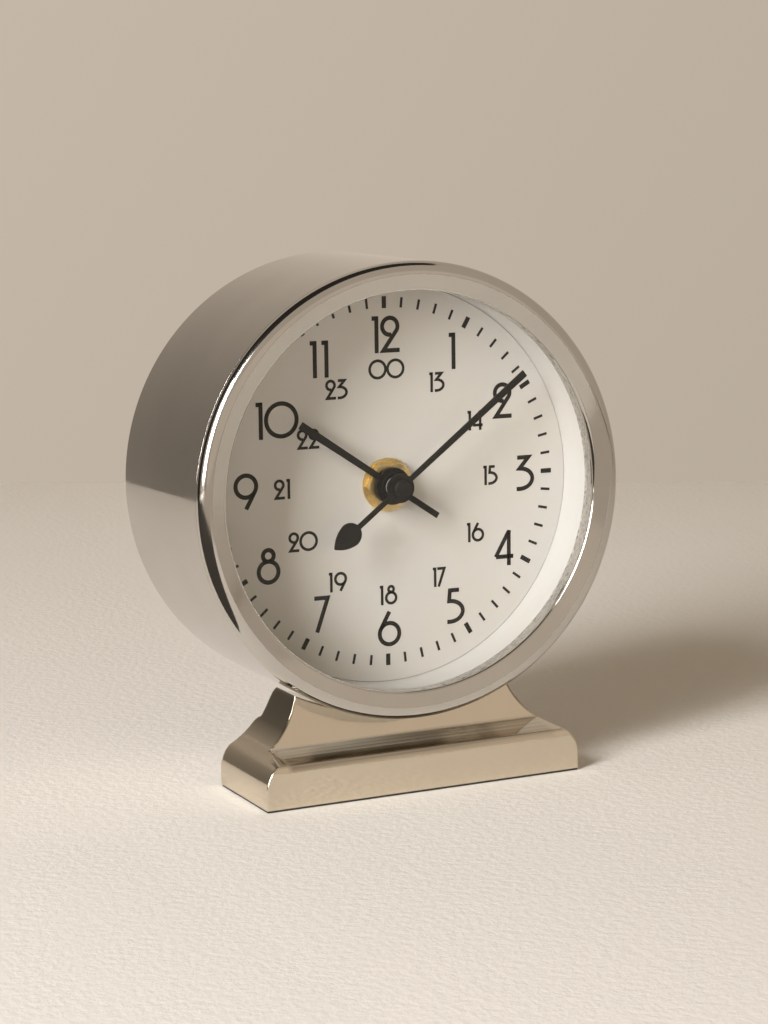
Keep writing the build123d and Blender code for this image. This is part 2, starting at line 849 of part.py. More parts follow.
def timing_chip():
    x = board_left + inner_room
    y = board_bottom + inner_room
    return block(x, x + chip_side, y, y + chip_side, parts_front - chip_height, parts_front)


def quartz_crystal():
    can = Cylinder(crystal_radius, crystal_length, rotation=(0, 90, 0))
    x = board_left + inner_room + crystal_length / 2
    y = board_top - inner_room - crystal_radius
    return Pos(x, y, parts_front - crystal_radius) * can


# Bent contact with a dimple that meets one end of the battery
def contact(side):
    wall = side * (bay_half - seat_gap)
    sheet = wall - side * contact_sheet
    tip = side * (battery_length / 2 + slip_gap)
    half = contact_width / 2
    left, right = sorted((wall, sheet))
    strip = block(left, right, battery_y - half, battery_y + half, bay_back, bay_front - seat_gap)
    dimple = Cylinder(contact_dimple_radius, abs(sheet - tip), rotation=(0, 90, 0))
    return strip + Pos((sheet + tip) / 2, battery_y, battery_z) * dimple


def battery():
    body_length = battery_length - battery_nub_length
    body = Cylinder(battery_radius, body_length, rotation=(0, 90, 0))
    nub = Cylinder(battery_nub_radius, battery_nub_length, rotation=(0, 90, 0))
    body = fillet(body.edges(), bay_play)
    cell = Pos(-battery_nub_length / 2, 0, 0) * body + Pos(body_length / 2, 0, 0) * nub
    return Pos(0, battery_y, battery_z) * cell


# Outline of the movement, with rounded corners
def movement_outline(low, high):
    body = block(case_left, case_right, case_bottom, case_top, low, high)
    return fillet(body.edges().filter_by(Axis.Z), case_corner)


def movement_front_plate():
    plate = movement_outline(plate_back, plate_front)
    plate -= rod(bush_flange_radius + press_gap, plate_back, plate_front)
    pivot_end = plate_back + pivot_depth + slip_gap
    for axis in (third_axis, intermediate_axis, rotor_axis):
        plate -= rod(wheel_arbor_radius + running_gap, plate_back, pivot_end, axis)
    plate -= rod(setting_shaft_radius + running_gap, plate_back, pivot_end, setting_axis)
    return plate + rod(post_radius, MINUTE_LAYER[0], plate_back, minute_wheel_axis)


# Deep case: a room for the train that opens forwards and a battery bay that opens backwards
def movement_case():
    front = plate_back - seat_gap
    body = movement_outline(bay_back, front)
    body -= block(case_left, case_right, room_bottom - case_wall, case_top, bay_back, train_case_back)
    body -= block(room_left, room_right, room_bottom, room_top, train_back, front)
    body -= block(-bay_half, bay_half, bay_bottom, bay_top, bay_back, bay_front)
    for axis in (third_axis, intermediate_axis, rotor_axis):
        body -= rod(wheel_arbor_radius + running_gap, train_back - pivot_depth - slip_gap, train_back, axis)
    body -= rod(second_arbor_radius + running_gap, train_back - pivot_depth - slip_gap, train_back)
    return body - rod(setting_shaft_radius + running_gap, train_case_back, train_back, setting_axis)


# Place of the face frame, then every piece in its own file
HEAD = Pos(0, dial_y, axis_height) * Rot(90, 0, 0)

head_pieces = {
    "case_drum": case_drum(),
    "bezel_ring": bezel_ring(),
    "lens_glass": lens_glass(),
    "rehaut_ring": rehaut_ring(),
    "dial_plate": dial_plate(),
    "back_cover": back_cover(),
    "cover_lugs": cover_lugs(),
    "back_cover_screws": back_cover_screws(),
    "pedestal_screws": pedestal_screws(),
    "pedestal_washers": pedestal_washers(),
    "threaded_bush": threaded_bush(),
    "rubber_gasket": rubber_gasket(),
    "brass_washer": brass_washer(),
    "hex_nut": hex_nut(),
    "hour_wheel": hour_wheel(),
    "hour_collet": hour_collet(),
    "hour_hand": hour_hand(),
    "minute_arbor": minute_arbor(),
    "minute_collet": minute_collet(),
    "minute_hand": minute_hand(),
    "hand_cap": hand_cap(),
    "minute_wheel": minute_wheel(),
    "setting_shaft": setting_shaft(),
    "setting_knob": setting_knob(),
    "centre_wheel": centre_wheel(),
    "third_wheel": third_wheel(),
    "second_wheel": second_wheel(),
    "intermediate_wheel": intermediate_wheel(),
    "rotor_pinion": rotor_pinion(),
    "rotor_magnet": rotor_magnet(),
    "stator": stator(),
    "coil_core": coil_core(),
    "coil_bobbin": coil_bobbin(),
    "coil_winding": coil_winding(),
    "circuit_board": circuit_board(),
    "timing_chip": timing_chip(),
    "quartz_crystal": quartz_crystal(),
    "contact_negative": contact(-1),
    "contact_positive": contact(1),
    "battery": battery(),
    "movement_front_plate": movement_front_plate(),
    "movement_case": movement_case(),
}
pieces = {name: HEAD * piece for name, piece in head_pieces.items()}
pieces["pedestal"] = pedestal()
pieces["pedestal_pad"] = pedestal_pad()

for name, piece in pieces.items():
    export_step(piece, f"parts/{name}.step")

print("axis height", round(axis_height, 3), "dial front y", round(dial_y, 3))
for name, axis in (
    ("minute_wheel", minute_wheel_axis),
    ("setting", setting_axis),
    ("third", third_axis),
    ("intermediate", intermediate_axis),
    ("rotor", rotor_axis),
):
    print(name, "axis x", round(axis[0], 4), "z", round(axis_height + axis[1], 4))
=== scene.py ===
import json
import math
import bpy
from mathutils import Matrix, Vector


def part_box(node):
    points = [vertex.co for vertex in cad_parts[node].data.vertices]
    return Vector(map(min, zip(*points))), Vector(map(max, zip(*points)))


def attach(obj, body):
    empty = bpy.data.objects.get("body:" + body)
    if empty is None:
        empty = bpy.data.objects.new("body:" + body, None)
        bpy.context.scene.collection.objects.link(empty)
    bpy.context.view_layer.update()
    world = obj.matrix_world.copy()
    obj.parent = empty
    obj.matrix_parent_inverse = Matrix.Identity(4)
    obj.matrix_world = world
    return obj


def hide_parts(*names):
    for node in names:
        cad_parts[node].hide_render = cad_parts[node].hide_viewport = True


bl_info = {
    "name": "Drum Desk Clock",
    "version": (1, 0, 0),
    "blender": (4, 5, 0),
    "location": "View3D > Sidebar > Drum Clock",
    "description": "Finishes a drum desk clock around its solids and sets it on a pale stage",
    "category": "Object",
}

import bmesh
import bpy
from bpy.props import FloatProperty, FloatVectorProperty, IntProperty, PointerProperty
from mathutils import Matrix, Vector

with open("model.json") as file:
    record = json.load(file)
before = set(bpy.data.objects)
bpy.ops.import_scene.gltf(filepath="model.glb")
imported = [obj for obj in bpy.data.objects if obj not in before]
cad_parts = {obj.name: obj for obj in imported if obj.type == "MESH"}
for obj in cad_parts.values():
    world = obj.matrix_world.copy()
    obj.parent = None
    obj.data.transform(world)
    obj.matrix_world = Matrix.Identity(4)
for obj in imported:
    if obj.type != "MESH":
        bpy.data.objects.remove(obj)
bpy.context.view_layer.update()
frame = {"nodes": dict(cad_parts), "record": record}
NODES = frame["nodes"]

MM = 0.001
PANEL_TAB = "Drum Clock"
CASE = "case"

# Places that the solids give: the drum's axis and the dial's front face
DRUM_LOW, DRUM_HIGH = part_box("case_drum")
AXIS_Z = (DRUM_LOW.z + DRUM_HIGH.z) / 2
DIAL_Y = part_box("dial_plate")[0].y
DRUM_RADIUS = (DRUM_HIGH.x - DRUM_LOW.x) / 2

# Sizes and clearances of the turned pieces
RUNNING_GAP = 0.1 * MM
SEAT_GAP = 0.02 * MM
BEZEL_SHEET = 0.85 * MM
RING_GRIP = 4.8 * MM
RING_STEP = 0.3 * MM
RING_FLANGE_WIDTH = 3.5 * MM
RING_FLANGE_THICKNESS = 0.8 * MM
DIAL_HOLE = 4.1 * MM

# Angles in degrees past which an edge is kept sharp
SHARP = 34.0
PEDESTAL_SHARP = 24.0


def ahead(node):
    """Back and front of a node, counted forwards from the dial."""
    low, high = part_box(node)
    return DIAL_Y - high.y, DIAL_Y - low.y


def half_width(node):
    """Half of a node's width, which is a round piece's radius."""
    low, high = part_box(node)
    return (high.x - low.x) / 2


# Settings that a user may change


def length(name, description, default):
    """A size in the panel."""
    return FloatProperty(name=name, description=description, default=default, unit="LENGTH", precision=5)


def power(name, description, default):
    """A lamp's power in the panel."""
    return FloatProperty(name=name, description=description, default=default, unit="POWER")


def colour(name, description, default):
    """A colour in the panel."""
    return FloatVectorProperty(
        name=name, description=description, default=default, subtype="COLOR", size=3, min=0.0, max=1.0
    )


class CaseSettings(bpy.types.PropertyGroup):
    """Sizes of the drum, the bezel ring and the glass"""

    drum_wall: length("Drum wall", "Thickness of the drum's sheet", 0.9 * MM)
    drum_edge: length("Drum edge", "Round on the drum's back edge", 0.35 * MM)
    bezel_width: length("Bezel width", "From the outer edge to the opening", 7.25 * MM)
    bezel_round: length("Bezel round", "Width of the outer edge's round", 3.3 * MM)
    bezel_rise: length("Bezel rise", "Height of the outer edge's round", 2.8 * MM)
    bezel_dish: length("Bezel dish", "How far the face sinks towards the opening", 0.8 * MM)
    lip_round: length("Lip round", "Round on the inner lip", 1.0 * MM)
    bright_lip: length("Bright lip", "Polished part of the opening's wall", 1.4 * MM)
    ground_edge: length("Ground edge", "Width of the glass's ground rim", 1.15 * MM)
    turn_steps: IntProperty(
        name="Steps", description="Steps around turned pieces", default=256, min=48, max=512
    )


class DialSettings(bpy.types.PropertyGroup):
    """Sizes of the printed dial"""

    numeral_height: length("Hour numerals", "Height of 1 to 12", 9.25 * MM)
    numeral_stroke: length("Hour stroke", "Stroke of 1 to 12", 1.1 * MM)
    small_height: length("Small numerals", "Height of 13 to 00", 5.05 * MM)
    small_stroke: length("Small stroke", "Stroke of 13 to 00", 0.72 * MM)
    mark_radius: length("Mark circle", "Middle of the marks, from the centre", 45.4 * MM)
    hour_mark_width: length("Hour mark width", "Across an hour mark", 1.2 * MM)
    hour_mark_length: length("Hour mark length", "Along an hour mark", 3.0 * MM)
    minute_mark_width: length("Minute mark width", "Across a minute mark", 0.68 * MM)
    minute_mark_length: length("Minute mark length", "Along a minute mark", 2.6 * MM)
    ink_height: length("Ink", "Height of the print over the paint", 0.02 * MM)
    print_turn: FloatProperty(
        name="Print turn",
        description="Clockwise turn of the print",
        default=math.radians(0.861),
        subtype="ANGLE",
    )
    print_right: length("Print right", "Shift of the print to the right", -0.24 * MM)
    print_up: length("Print up", "Shift of the print upwards", 0.52 * MM)


class EdgeSettings(bpy.types.PropertyGroup):
    """Softness of the edges of the other pieces"""

    pedestal: length("Pedestal", "Round on the pedestal's edges", 0.8 * MM)
    pad: length("Pad", "Round on the pad's edges", 0.12 * MM)
    hands: length("Hands", "Round on the hands' edges", 0.07 * MM)
    mouldings: length("Mouldings", "Round on the plastic pieces", 0.18 * MM)
    small_metal: length("Small metal", "Round on nuts, washers and lugs", 0.08 * MM)


class ColourSettings(bpy.types.PropertyGroup):
    """Colours of the finishes"""

    nickel: colour("Nickel", "Polished drum and bezel", (0.59, 0.565, 0.53))
    pedestal_nickel: colour("Pedestal nickel", "Polished casting", (0.71, 0.63, 0.51))
    white_ring: colour("White ring", "Ring between glass and dial", (0.50, 0.485, 0.46))
    dial_paint: colour("Dial paint", "Ground of the dial", (0.565, 0.546, 0.519))
    ink: colour("Ink", "Numerals and marks", (0.016, 0.014, 0.012))
    hand_black: colour("Hand black", "Hands, collets and cap", (0.010, 0.009, 0.008))
    brass: colour("Brass", "Nut, washer and bush", (0.82, 0.64, 0.32))
    black_plastic: colour("Black plastic", "Cover, movement and knob", (0.022, 0.022, 0.023))
    steel: colour("Steel", "Screws, lugs and contacts", (0.56, 0.55, 0.53))
    rubber: colour("Rubber", "Pad and gasket", (0.018, 0.017, 0.016))
    acetal: colour("Acetal", "Wheels", (0.80, 0.79, 0.75))
    copper: colour("Copper", "Coil winding", (0.60, 0.24, 0.11))
    board: colour("Board", "Circuit board", (0.03, 0.17, 0.06))
    magnet: colour("Magnet", "Rotor magnet", (0.07, 0.07, 0.075))
    cell_dark: colour("Cell body", "Battery jacket", (0.035, 0.036, 0.04))
    cell_band: colour("Cell band", "Band at the battery's plus end", (0.62, 0.36, 0.14))


class StageSettings(bpy.types.PropertyGroup):
    """Floor, wall, light and camera"""

    floor: colour("Floor", "Pale floor", (0.81, 0.765, 0.72))
    wall: colour("Wall", "Pale wall", (0.52, 0.445, 0.365))
    ambient: colour("Ambient", "Light from all round", (1.0, 0.83, 0.60))
    ambient_strength: FloatProperty(
        name="Ambient strength", description="Level of the ambient light", default=0.215
    )
    key: colour("Key", "Colour of the large soft lamp", (1.0, 1.0, 0.985))
    key_power: power("Key power", "Power of the soft lamp", 36.5)
    key_width: length("Key width", "Width of the soft lamp", 0.45)
    key_height: length("Key height", "Height of the soft lamp", 1.1)
    fill: colour("Fill", "Colour of the weak lamp in front", (1.0, 0.86, 0.60))
    fill_power: power("Fill power", "Power of the weak lamp", 5.0)
    focal: FloatProperty(
        name="Lens", description="Focal length of the camera in millimetres", default=96.32
    )


class ClockSettings(bpy.types.PropertyGroup):
    """All settings of the clock"""

    case: PointerProperty(type=CaseSettings)
    dial: PointerProperty(type=DialSettings)
    edges: PointerProperty(type=EdgeSettings)
    colours: PointerProperty(type=ColourSettings)
    stage: PointerProperty(type=StageSettings)


def settings():
    """The clock's settings in the scene."""
    return bpy.context.scene.drum_clock


# Shader nodes


class Wire:
    """A socket that takes part in Python arithmetic."""

    def __init__(self, finish, socket):
        self.finish = finish
        self.socket = socket

    def _math(self, operation, left, right):
        return self.finish.node("ShaderNodeMath", {"operation": operation}, {0: left, 1: right})

    def __add__(self, other):
        return self._math("ADD", self, other)

    def __radd__(self, other):
        return self._math("ADD", other, self)

    def __sub__(self, other):
        return self._math("SUBTRACT", self, other)

    def __rsub__(self, other):
        return self._math("SUBTRACT", other, self)

    def __mul__(self, other):
        return self._math("MULTIPLY", self, other)

    def __rmul__(self, other):
        return self._math("MULTIPLY", other, self)

    def __pow__(self, other):
        return self._math("POWER", self, other)

    def __gt__(self, other):
        return self._math("GREATER_THAN", self, other)

    def __lt__(self, other):
        return self._math("LESS_THAN", self, other)


class Finish:
    """A material whose principled shader is fed by nodes."""

    def __init__(self, name, **constants):
        self.material = bpy.data.materials.new(name)
        self.material.use_nodes = True
        self.tree = self.material.node_tree
        self.shader = self.tree.nodes["Principled BSDF"]
        self.set(**constants)

    def feed(self, socket, value):
        if isinstance(value, Wire):
            self.tree.links.new(value.socket, socket)
        elif hasattr(value, "__len__") and len(value) == 3 and socket.type == "RGBA":
            socket.default_value = (*value, 1.0)
        else:
            socket.default_value = value

    def set(self, **values):
        for name, value in values.items():
            self.feed(self.shader.inputs[name.replace("_", " ").title().replace("Ior", "IOR")], value)

    def node(self, kind, settings=None, sockets=None, output=0):
        """Adds a node: its settings first, then the values or links of its sockets."""
        node = self.tree.nodes.new(kind)
        for key, value in (settings or {}).items():
            setattr(node, key, value)
        for key, value in (sockets or {}).items():
            self.feed(node.inputs[key], value)
        return Wire(self, node.outputs[output])

    def place(self, scale=(1.0, 1.0, 1.0), location=(0.0, 0.0, 0.0)):
        spot = self.node("ShaderNodeTexCoord", output="Object")
        return self.node("ShaderNodeMapping", None, {"Vector": spot, "Scale": scale, "Location": location})

    def noise(self, vector, scale, detail=3.0, roughness=0.55):
        values = {"Vector": vector, "Scale": scale, "Detail": detail, "Roughness": roughness}
        return self.node("ShaderNodeTexNoise", None, values)

    def blend(self, factor, first, second):
        return self.node("ShaderNodeMix", {"data_type": "RGBA"}, {0: factor, 6: first, 7: second}, 2)

    def stretch(self, value, low, high, to_low=0.0, to_high=1.0):
        values = {"Value": value, "From Min": low, "From Max": high, "To Min": to_low, "To Max": to_high}
        return self.node("ShaderNodeMapRange", {"clamp": True}, values)

    def bump(self, height, strength, distance, normal=None):
        sockets = {"Height": height, "Strength": strength, "Distance": distance}
        if normal is not None:
            sockets["Normal"] = normal
        return self.node("ShaderNodeBump", None, sockets)

    def parts(self, vector):
        split = self.node("ShaderNodeSeparateXYZ", None, {0: vector}).socket.node
        return [Wire(self, split.outputs[axis]) for axis in range(3)]

    def seen(self):
        """One for the rays that show a surface itself: from the camera, off a mirror or through glass."""
        path = self.node("ShaderNodeLightPath").socket.node
        names = ("Is Camera Ray", "Is Glossy Ray", "Is Transmission Ray")
        camera, glossy, through = (Wire(self, path.outputs[name]) for name in names)
        return camera + glossy + through

    def end(self, shader):
        """Links the last shader to the tree's output."""
        output = next(node for node in self.tree.nodes if node.type.startswith("OUTPUT"))
        self.tree.links.new(shader.socket, output.inputs["Surface"])


class Studio(Finish):
    """The world, whose nodes are made in the same way."""

    def __init__(self, name):
        self.world = bpy.data.worlds.new(name)
        self.world.use_nodes = True
        self.tree = self.world.node_tree


def shade(tone, share):
    """A tone made darker or lighter."""
    return tuple(channel * share for channel in tone)


def polished_finish(name, tone, smudge):
    """Bright plating with faint marks and a handled haze, left rough deep inside the bezel's opening."""
    finish = Finish(name, metallic=1.0)
    spot = finish.place()
    haze = finish.noise(spot, 38.0, 4.0)
    lines = finish.noise(finish.place((60.0, 1500.0, 60.0)), 1.0, 2.0)
    specks = finish.stretch(finish.noise(spot, 900.0, 2.0), 0.66, 0.74)
    x, y, z = finish.parts(finish.place(location=(0.0, 0.0, -AXIS_Z)))
    opening = DRUM_RADIUS - settings().case.bezel_width
    lip = DIAL_Y - ahead("bezel_ring")[1] + settings().case.bezel_dish + settings().case.bright_lip
    inside = ((x * x + z * z) ** 0.5 < opening + 0.03 * MM) * finish.stretch(y, lip, lip + 0.15 * MM)
    grain = finish.noise(spot, 1500.0, 3.0, 0.7)
    worn = finish.blend(finish.stretch(grain, 0.34, 0.5), shade(tone, 0.55), shade(tone, 1.05))
    bright = finish.blend(finish.stretch(haze, 0.35, 0.7), shade(tone, 0.95), shade(tone, 1.03))
    gloss = finish.stretch(haze, 0.35, 0.75, 0.04, 0.04 + smudge) + lines * 0.03 + specks * 0.04
    finish.set(
        base_color=finish.blend(inside, bright, worn),
        roughness=gloss + inside * 0.4,
        normal=finish.bump(finish.noise(spot, 24.0, 1.0) + inside * grain * 0.1, 0.05, 0.0004),
    )
    return finish.material


# Pedestal's swept ends: half of their width at a height, as a curve about a middle height
SWEEP_MIDDLE = 19.0 * MM
SWEEP_BEND, SWEEP_SLOPE, SWEEP_HALF_WIDTH = 40.0, -0.575, 31.27 * MM

# Where the pedestal's painted shade fades in: outside the swept ends, up them, and on the ledge
END_FADE = (-0.6 * MM, -0.25 * MM)
END_HEIGHTS = (12.5 * MM, 17.0 * MM)
LEDGE_BOTTOM = (9.2 * MM, 10.5 * MM)
LEDGE_TOP = (13.2 * MM, 12.3 * MM)
LEDGE_SIDES = (37.2 * MM, 35.6 * MM)
LEDGE_DEPTH = (3.0 * MM, 7.0 * MM)


def casting_finish(name, tone):
    """Plated casting: rounder polish, with painted shade on the swept ends under the drum and a painted dark
    reflection on the ledge.
    """
    finish = Finish(name)
    spot = finish.place()
    edges = finish.node("ShaderNodeBevel", {"samples": 8}, {"Radius": settings().edges.pedestal})
    x, y, z = finish.parts(spot)
    haze = finish.noise(spot, 46.0, 4.0)
    height = z - SWEEP_MIDDLE
    sweep = height * height * SWEEP_BEND + height * SWEEP_SLOPE + SWEEP_HALF_WIDTH
    reach = finish.node("ShaderNodeMath", {"operation": "ABSOLUTE"}, {0: x})
    # Painted shade: the swept ends under the drum are darkened in the base colour
    ends = finish.stretch(reach - sweep, *END_FADE) * finish.stretch(z, *END_HEIGHTS)
    tone_with_painted_shade = finish.blend(ends, tone, shade(tone, 0.36))
    low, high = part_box("pedestal")
    # Painted reflection: a dark, streaked band on the ledge, darkest towards the left, stands in for the
    # drum's dark underside mirrored there; its back part is also made only half metallic
    ledge = finish.stretch(z, *LEDGE_BOTTOM) * finish.stretch(z, *LEDGE_TOP)
    ledge = ledge * finish.stretch(x, high.x, 0.0, 0.2) * finish.stretch(reach, *LEDGE_SIDES)
    inner = ledge * finish.stretch(y - low.y, *LEDGE_DEPTH)
    streaks = finish.noise(finish.place((9.0, 700.0, 700.0)), 1.0, 2.0)
    painted_ledge_reflection = finish.blend(finish.stretch(streaks, 0.36, 0.62), shade(tone, 0.25), shade(tone, 0.7))
    tone_with_painted_shade = finish.blend(ledge, tone_with_painted_shade, painted_ledge_reflection)
    finish.set(
        base_color=finish.blend(finish.stretch(haze, 0.3, 0.75, 0.0, 0.12), tone_with_painted_shade, shade(tone, 0.6)),
        metallic=1.0 - inner * 0.5,
        roughness=finish.stretch(haze, 0.3, 0.75, 0.06, 0.14),
        normal=finish.bump(finish.noise(spot, 60.0, 2.0), 0.06, 0.0005, edges),
    )
    return finish.material


def painted_finish(name, tone, roughness, grain, warmth=(1.0, 0.97, 0.92), sheen=0.5):
    """Matt or satin paint with a faint uneven tone and fine grain."""
    finish = Finish(name, roughness=roughness, specular_ior_level=sheen)
    spot = finish.place()
    cloud = finish.noise(spot, 30.0, 4.0)
    fine = finish.noise(spot, 2600.0, 2.0)
    aged = tuple(a * b for a, b in zip(tone, warmth))
    finish.set(
        base_color=finish.blend(finish.stretch(cloud, 0.35, 0.75, 0.0, 0.8), tone, aged),
        roughness=roughness + (fine - 0.5) * 0.12,
        normal=finish.bump(fine, grain, 0.0001),
    )
    return finish.material


def turned_brass_finish(name, tone):
    """Brass with the fine rings that turning leaves."""
    finish = Finish(name, metallic=1.0)
    spot = finish.place(location=(0.0, 0.0, -AXIS_Z))
    x, _, z = finish.parts(spot)
    radius = (x * x + z * z) ** 0.5
    rings = finish.node("ShaderNodeMath", {"operation": "SINE"}, {0: radius * 32000.0})
    stain = finish.noise(spot, 420.0, 3.0)
    finish.set(
        base_color=finish.blend(finish.stretch(stain, 0.4, 0.75, 0.0, 0.6), tone, shade(tone, 0.55)),
        roughness=finish.stretch(stain, 0.3, 0.8, 0.24, 0.42),
        normal=finish.bump(rings, 0.12, 0.00003),
    )
    return finish.material


def plastic_finish(name, tone, roughness=0.5, grain=0.35):
    """Moulded plastic with a spark-eroded grain."""
    finish = Finish(name, roughness=roughness)
    spot = finish.place()
    coarse = finish.noise(spot, 2400.0, 2.0, 0.6)
    cloud = finish.noise(spot, 70.0, 3.0)
    finish.set(
        base_color=finish.blend(cloud, shade(tone, 0.8), shade(tone, 1.35)),
        roughness=finish.stretch(cloud, 0.3, 0.75, roughness - 0.08, roughness + 0.1),
        normal=finish.bump(coarse, grain, 0.00008),
    )
    return finish.material


def plated_steel_finish(name, tone):
    """Zinc plated steel with a mottled sheen."""
    finish = Finish(name, metallic=1.0)
    spot = finish.place()
    mottle = finish.noise(spot, 700.0, 4.0)
    finish.set(
        base_color=finish.blend(finish.stretch(mottle, 0.3, 0.7), shade(tone, 0.75), tone),
        roughness=finish.stretch(mottle, 0.3, 0.7, 0.26, 0.42),
        normal=finish.bump(finish.noise(spot, 2200.0), 0.08, 0.00005),
    )
    return finish.material


def winding_finish(name, tone):
    """Enamelled wire, turn beside turn."""
    finish = Finish(name, metallic=1.0)
    spot = finish.place()
    z = finish.parts(spot)[2]
    turns = finish.node("ShaderNodeMath", {"operation": "SINE"}, {0: z * 42000.0})
    finish.set(
        base_color=finish.blend(turns * 0.5 + 0.5, shade(tone, 0.45), tone),
        roughness=finish.noise(spot, 500.0) * 0.2 + 0.2,
        normal=finish.bump(turns, 0.5, 0.00008),
    )
    return finish.material


# Places along the battery: its light line, its band, and where its bare ends start
CELL_LINE = 12.4 * MM
CELL_BAND = 13.0 * MM
CELL_PLUS_END = 23.6 * MM
CELL_MINUS_END = -24.6 * MM


def jacket_finish(name, dark, band):
    """Plain battery sleeve: dark, with a coloured band at the plus end and a thin light line between."""
    finish = Finish(name, metallic=0.6)
    x = finish.parts(finish.place())[0]
    scuffs = finish.noise(finish.place((40.0, 900.0, 900.0)), 1.0, 3.0)
    sleeve = finish.blend(x > CELL_BAND, dark, band)
    lined = finish.blend((x > CELL_LINE) * (x < CELL_BAND), sleeve, (0.7, 0.69, 0.66))
    ends = (x > CELL_PLUS_END) + (x < CELL_MINUS_END)
    scuffed = finish.blend(finish.stretch(scuffs, 0.62, 0.8, 0.0, 0.35), lined, (0.4, 0.39, 0.37))
    finish.set(
        base_color=finish.blend(ends, scuffed, (0.58, 0.57, 0.55)),
        roughness=finish.stretch(scuffs, 0.3, 0.75, 0.22, 0.42),
        normal=finish.bump(scuffs, 0.05, 0.00005),
    )
    return finish.material


def glass_finish(name):
    """Clear sheet glass: a faint mirror over a see-through body."""
    finish = Finish(name, metallic=1.0, base_color=(0.96, 0.98, 0.97))
    spot = finish.place()
    dust = finish.stretch(finish.noise(spot, 1100.0, 2.0), 0.7, 0.78)
    finish.set(alpha=dust * 0.010 + 0.012, roughness=finish.noise(spot, 30.0) * 0.03 + 0.01)
    return finish.material


def ground_glass_finish(name):
    """Ground rim of the glass: grey, speckled and dull."""
    finish = Finish(name)
    spot = finish.place()
    speckle = finish.noise(spot, 1500.0, 3.0, 0.7)
    dark, pale = (0.10, 0.09, 0.08), (0.46, 0.42, 0.37)
    finish.set(
        base_color=finish.blend(finish.stretch(speckle, 0.36, 0.64), dark, pale),
        roughness=0.35 + speckle * 0.3,
        normal=finish.bump(speckle, 0.6, 0.0002),
    )
    return finish.material


def make_finishes():
    """One material for each slot of the record, and those that only the print and the glass use."""
    tones = settings().colours
    return {
        "polished_case": polished_finish("polished nickel", tones.nickel, 0.07),
        "polished_pedestal": casting_finish("polished casting", tones.pedestal_nickel),
        "clear_glass": glass_finish("clear glass"),
        "ground_glass": ground_glass_finish("ground glass"),
        "white_ring": painted_finish("white ring", tones.white_ring, 0.42, 0.05),
        "dial_paint": painted_finish("dial paint", tones.dial_paint, 0.62, 0.12),
        "ink": painted_finish("dial ink", tones.ink, 0.6, 0.1, (1.5, 1.45, 1.4), 0.15),
        "black_hands": painted_finish("hand black", tones.hand_black, 0.5, 0.1, (1.6, 1.5, 1.45), 0.25),
        "brass": turned_brass_finish("turned brass", tones.brass),
        "black_plastic": plastic_finish("black plastic", tones.black_plastic),
        "white_plastic": plastic_finish("acetal", tones.acetal, 0.4, 0.1),
        "steel": plated_steel_finish("plated steel", tones.steel),
        "black_rubber": plastic_finish("black rubber", tones.rubber, 0.75, 0.5),
        "magnet": plastic_finish("sintered magnet", tones.magnet, 0.45, 0.3),
        "copper_wire": winding_finish("copper winding", tones.copper),
        "board": plastic_finish("board lacquer", tones.board, 0.3, 0.15),
        "cell_jacket": jacket_finish("cell jacket", tones.cell_dark, tones.cell_band),
    }


FINISHES = {}


def finish_of(slot):
    """Material of a slot, all of them made at the first call."""
    if not FINISHES:
        FINISHES.update(make_finishes())
    return FINISHES[slot]


# Mesh helpers


def new_piece(name, verts, faces):
    """Object at the origin with its place in its mesh, faces turned outwards."""
    mesh = bpy.data.meshes.new(name)
    mesh.from_pydata(verts, [], faces)
    work = bmesh.new()
    work.from_mesh(mesh)
    bmesh.ops.remove_doubles(work, verts=work.verts, dist=1e-7)
    bmesh.ops.recalc_face_normals(work, faces=work.faces)
    work.to_mesh(mesh)
    work.free()
    piece = bpy.data.objects.new(name, mesh)
    bpy.context.scene.collection.objects.link(piece)
    return piece


def settle(piece):
    """Turns the evaluated piece into a plain mesh."""
    graph = bpy.context.evaluated_depsgraph_get()
    mesh = bpy.data.meshes.new_from_object(
        piece.evaluated_get(graph), preserve_all_data_layers=True, depsgraph=graph
    )
    old = piece.data
    piece.modifiers.clear()
    piece.data = mesh
    bpy.data.meshes.remove(old)
    mesh.name = piece.name


def smooth(piece, sharp=SHARP):
    """Smooth shading that keeps flat faces flat and breaks at sharp edges."""
    piece.data.shade_smooth()
    piece.data.set_sharp_from_angle(angle=math.radians(sharp))
    weights = piece.modifiers.new("Weights", "WEIGHTED_NORMAL")
    weights.keep_sharp = True
    settle(piece)


def dress(piece, slot, body, *nodes, finish=None):
    """Gives a piece its finish, its body and the nodes that it stands for."""
    piece.data.materials.clear()
    piece.data.materials.append(finish_of(finish or slot))
    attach(piece, body)
    if nodes:
        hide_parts(*nodes)


def rounded(points, steps=8):
    """Closed outline from corners given as across, along and the radius of the corner's round."""
    outline = []
    for index, (x, y, radius) in enumerate(points):
        corner = Vector((x, y))
        if radius <= 0:
            outline.append((x, y))
            continue
        before = (Vector(points[index - 1][:2]) - corner).normalized()
        after = (Vector(points[(index + 1) % len(points)][:2]) - corner).normalized()
        half = before.angle(after) / 2
        start = corner + before * (radius / math.tan(half))
        centre = corner + (before + after).normalized() * (radius / math.sin(half))
        spoke = start - centre
        sweep = (math.pi - 2 * half) * (1 if before.cross(after) < 0 else -1)
        for step in range(steps + 1):
            turn = Matrix.Rotation(sweep * step / steps, 2)
            outline.append(tuple(centre + turn @ spoke))
    return outline


